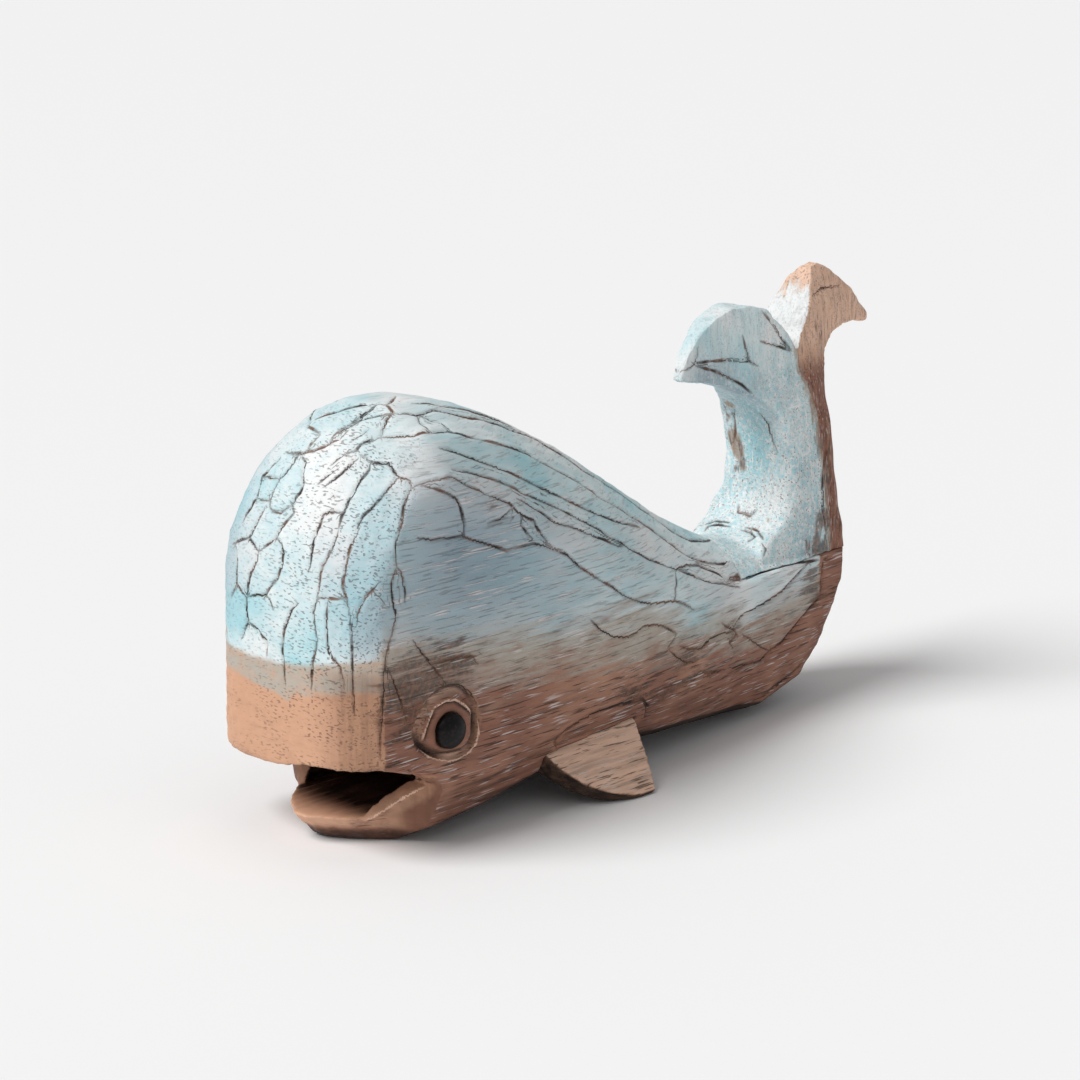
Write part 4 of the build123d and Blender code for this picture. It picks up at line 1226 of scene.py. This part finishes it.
class WHALE_OT_eyes(bpy.types.Operator):
    """Turn the two black bead eyes"""

    bl_idname = "whale.eyes"
    bl_label = "Turn Eyes"

    def execute(self, context):
        material = bead_material(context.scene.whale_finish)
        for node, sign in (("left_eye", -1), ("right_eye", 1)):
            mesh = self.bead_mesh(f"domed_{node}", corners(node), sign, context.scene.whale_carving)
            piece = bpy.data.objects.new(mesh.name, mesh)
            context.scene.collection.objects.link(piece)
            seat_piece(piece, material, node)
        return {"FINISHED"}

    def bead_mesh(self, name, box, sign, carving, rings=28, spokes=64):
        """A bead turned about its axis, with its tip on the side that the sign gives.

        Radius r sin a and height d cos a over a quarter turn, then a straight rim and a flat back.
        """
        low, high = box
        middle = (low + high) / 2
        radius = (high[0] - low[0]) / 2
        tip = high[1] if sign > 0 else low[1]
        dome, rim = carving.bead_dome, carving.bead_rim
        angles = np.linspace(0.5 * math.pi / rings, 0.5 * math.pi, rings)
        reach = np.concatenate((radius * np.sin(angles), (radius, radius / 2)))
        height = np.concatenate((dome * np.cos(angles), (-rim, -rim)))
        turns = np.linspace(0, 2 * math.pi, spokes, endpoint=False)
        x = middle[0] + np.outer(reach, np.cos(turns))
        z = middle[2] + np.outer(reach, np.sin(turns))
        y = np.broadcast_to((tip - sign * dome + sign * height)[:, None], x.shape)
        poles = [(middle[0], tip, middle[2]), (middle[0], y[-1, 0], middle[2])]
        points = np.vstack((np.stack((x, y, z), axis=-1).reshape(-1, 3), poles))
        spoke = np.arange(spokes)
        after = np.roll(spoke, -1)
        last = (len(reach) - 1) * spokes
        row = np.arange(0, last, spokes)[:, None]
        sides = np.stack((row + spoke, row + after, row + spokes + after, row + spokes + spoke), axis=-1)
        front = np.stack((after, spoke, np.full(spokes, last + spokes)), axis=-1)
        back = np.stack((last + spoke, last + after, np.full(spokes, last + spokes + 1)), axis=-1)
        faces = []
        for loops in (sides.reshape(-1, 4), front, back):
            faces += loops[:, ::-sign].tolist()
        mesh = bpy.data.meshes.new(name)
        mesh.from_pydata(points.tolist(), [], faces)
        mesh.update()
        return mesh


class WHALE_OT_dowels(bpy.types.Operator):
    """Finish the hidden dowels"""

    bl_idname = "whale.dowels"
    bl_label = "Finish Dowels"

    def execute(self, context):
        material = dowel_material(context.scene.whale_finish)
        for node in ("tail_dowels", "left_fin_dowels", "right_fin_dowels"):
            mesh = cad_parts[node].data
            mesh.materials.clear()
            mesh.materials.append(material)
        return {"FINISHED"}


class WHALE_OT_stage(bpy.types.Operator):
    """Set the floor, the light and the camera"""

    bl_idname = "whale.stage"
    bl_label = "Set Stage"

    def execute(self, context):
        scene, stage = context.scene, context.scene.whale_stage
        scene.view_settings.view_transform = "Standard"
        self.lay_floor(context, stage)
        self.set_lights(context, stage)
        camera = bpy.data.cameras.new("camera")
        camera.lens = stage.lens
        camera.sensor_width = stage.sensor
        camera.clip_start = stage.near
        viewer = bpy.data.objects.new("camera", camera)
        scene.collection.objects.link(viewer)
        place, ahead, _, _ = eye_of_camera(stage)
        viewer.location = place
        viewer.rotation_euler = ahead.to_track_quat("-Z", "Y").to_euler()
        scene.camera = viewer
        return {"FINISHED"}

    def lay_floor(self, context, stage):
        """Level square at the height of the table."""
        side = stage.floor_half
        square = [(-side, -side, 0.0), (side, -side, 0.0), (side, side, 0.0), (-side, side, 0.0)]
        mesh = bpy.data.meshes.new("floor")
        mesh.from_pydata(square, [], [(0, 1, 2, 3)])
        graph = Graph("floor")
        graph.surface(Base_Color=stage.floor, Roughness=0.9)
        mesh.materials.append(graph.material)
        floor = bpy.data.objects.new("floor", mesh)
        context.scene.collection.objects.link(floor)

    def set_lights(self, context, stage):
        """Even light all round, and a broad key from before the snout and above."""
        world = bpy.data.worlds.new("studio")
        context.scene.world = world
        world.use_nodes = True
        background = world.node_tree.nodes["Background"]
        background.inputs["Color"].default_value = (1.0, 1.0, 1.0, 1.0)
        background.inputs["Strength"].default_value = stage.fill_strength
        sun = bpy.data.lights.new("key", "SUN")
        sun.energy = stage.key_strength
        sun.angle = stage.key_spread
        key = bpy.data.objects.new("key", sun)
        context.scene.collection.objects.link(key)
        key.rotation_euler = Vector(stage.key_way).to_track_quat("-Z", "Y").to_euler()


class WHALE_PT_panel(bpy.types.Panel):
    """Lists the whale's operators and settings"""

    bl_label = "Hewn Whale"
    bl_idname = "WHALE_PT_panel"
    bl_space_type = "VIEW_3D"
    bl_region_type = "UI"
    bl_category = "Whale"

    def draw(self, context):
        column = self.layout.column()
        for operator in OPERATORS:
            column.operator(operator.bl_idname)
        for group in GROUPS:
            settings = getattr(context.scene, group)
            for name in settings.bl_rna.properties.keys():
                if name not in ("rna_type", "name"):
                    column.prop(settings, name)


GROUPS = {"whale_carving": WhaleCarving, "whale_finish": WhaleFinish, "whale_stage": WhaleStage}
OPERATORS = (WHALE_OT_body, WHALE_OT_tail, WHALE_OT_fins, WHALE_OT_eyes, WHALE_OT_dowels, WHALE_OT_stage)
CLASSES = (*GROUPS.values(), *OPERATORS, WHALE_PT_panel)


def register():
    """Adds the settings, the operators and the panel to Blender."""
    for kind in CLASSES:
        bpy.utils.register_class(kind)
    for name, group in GROUPS.items():
        setattr(bpy.types.Scene, name, bpy.props.PointerProperty(type=group))


def unregister():
    """Takes them out again."""
    for name in GROUPS:
        delattr(bpy.types.Scene, name)
    for kind in reversed(CLASSES):
        bpy.utils.unregister_class(kind)


def main():
    """Makes the whole figure and its stage."""
    register()
    bpy.ops.whale.body()
    bpy.ops.whale.tail()
    bpy.ops.whale.fins()
    bpy.ops.whale.eyes()
    bpy.ops.whale.dowels()
    bpy.ops.whale.stage()


if __name__ == "__main__":
    main()
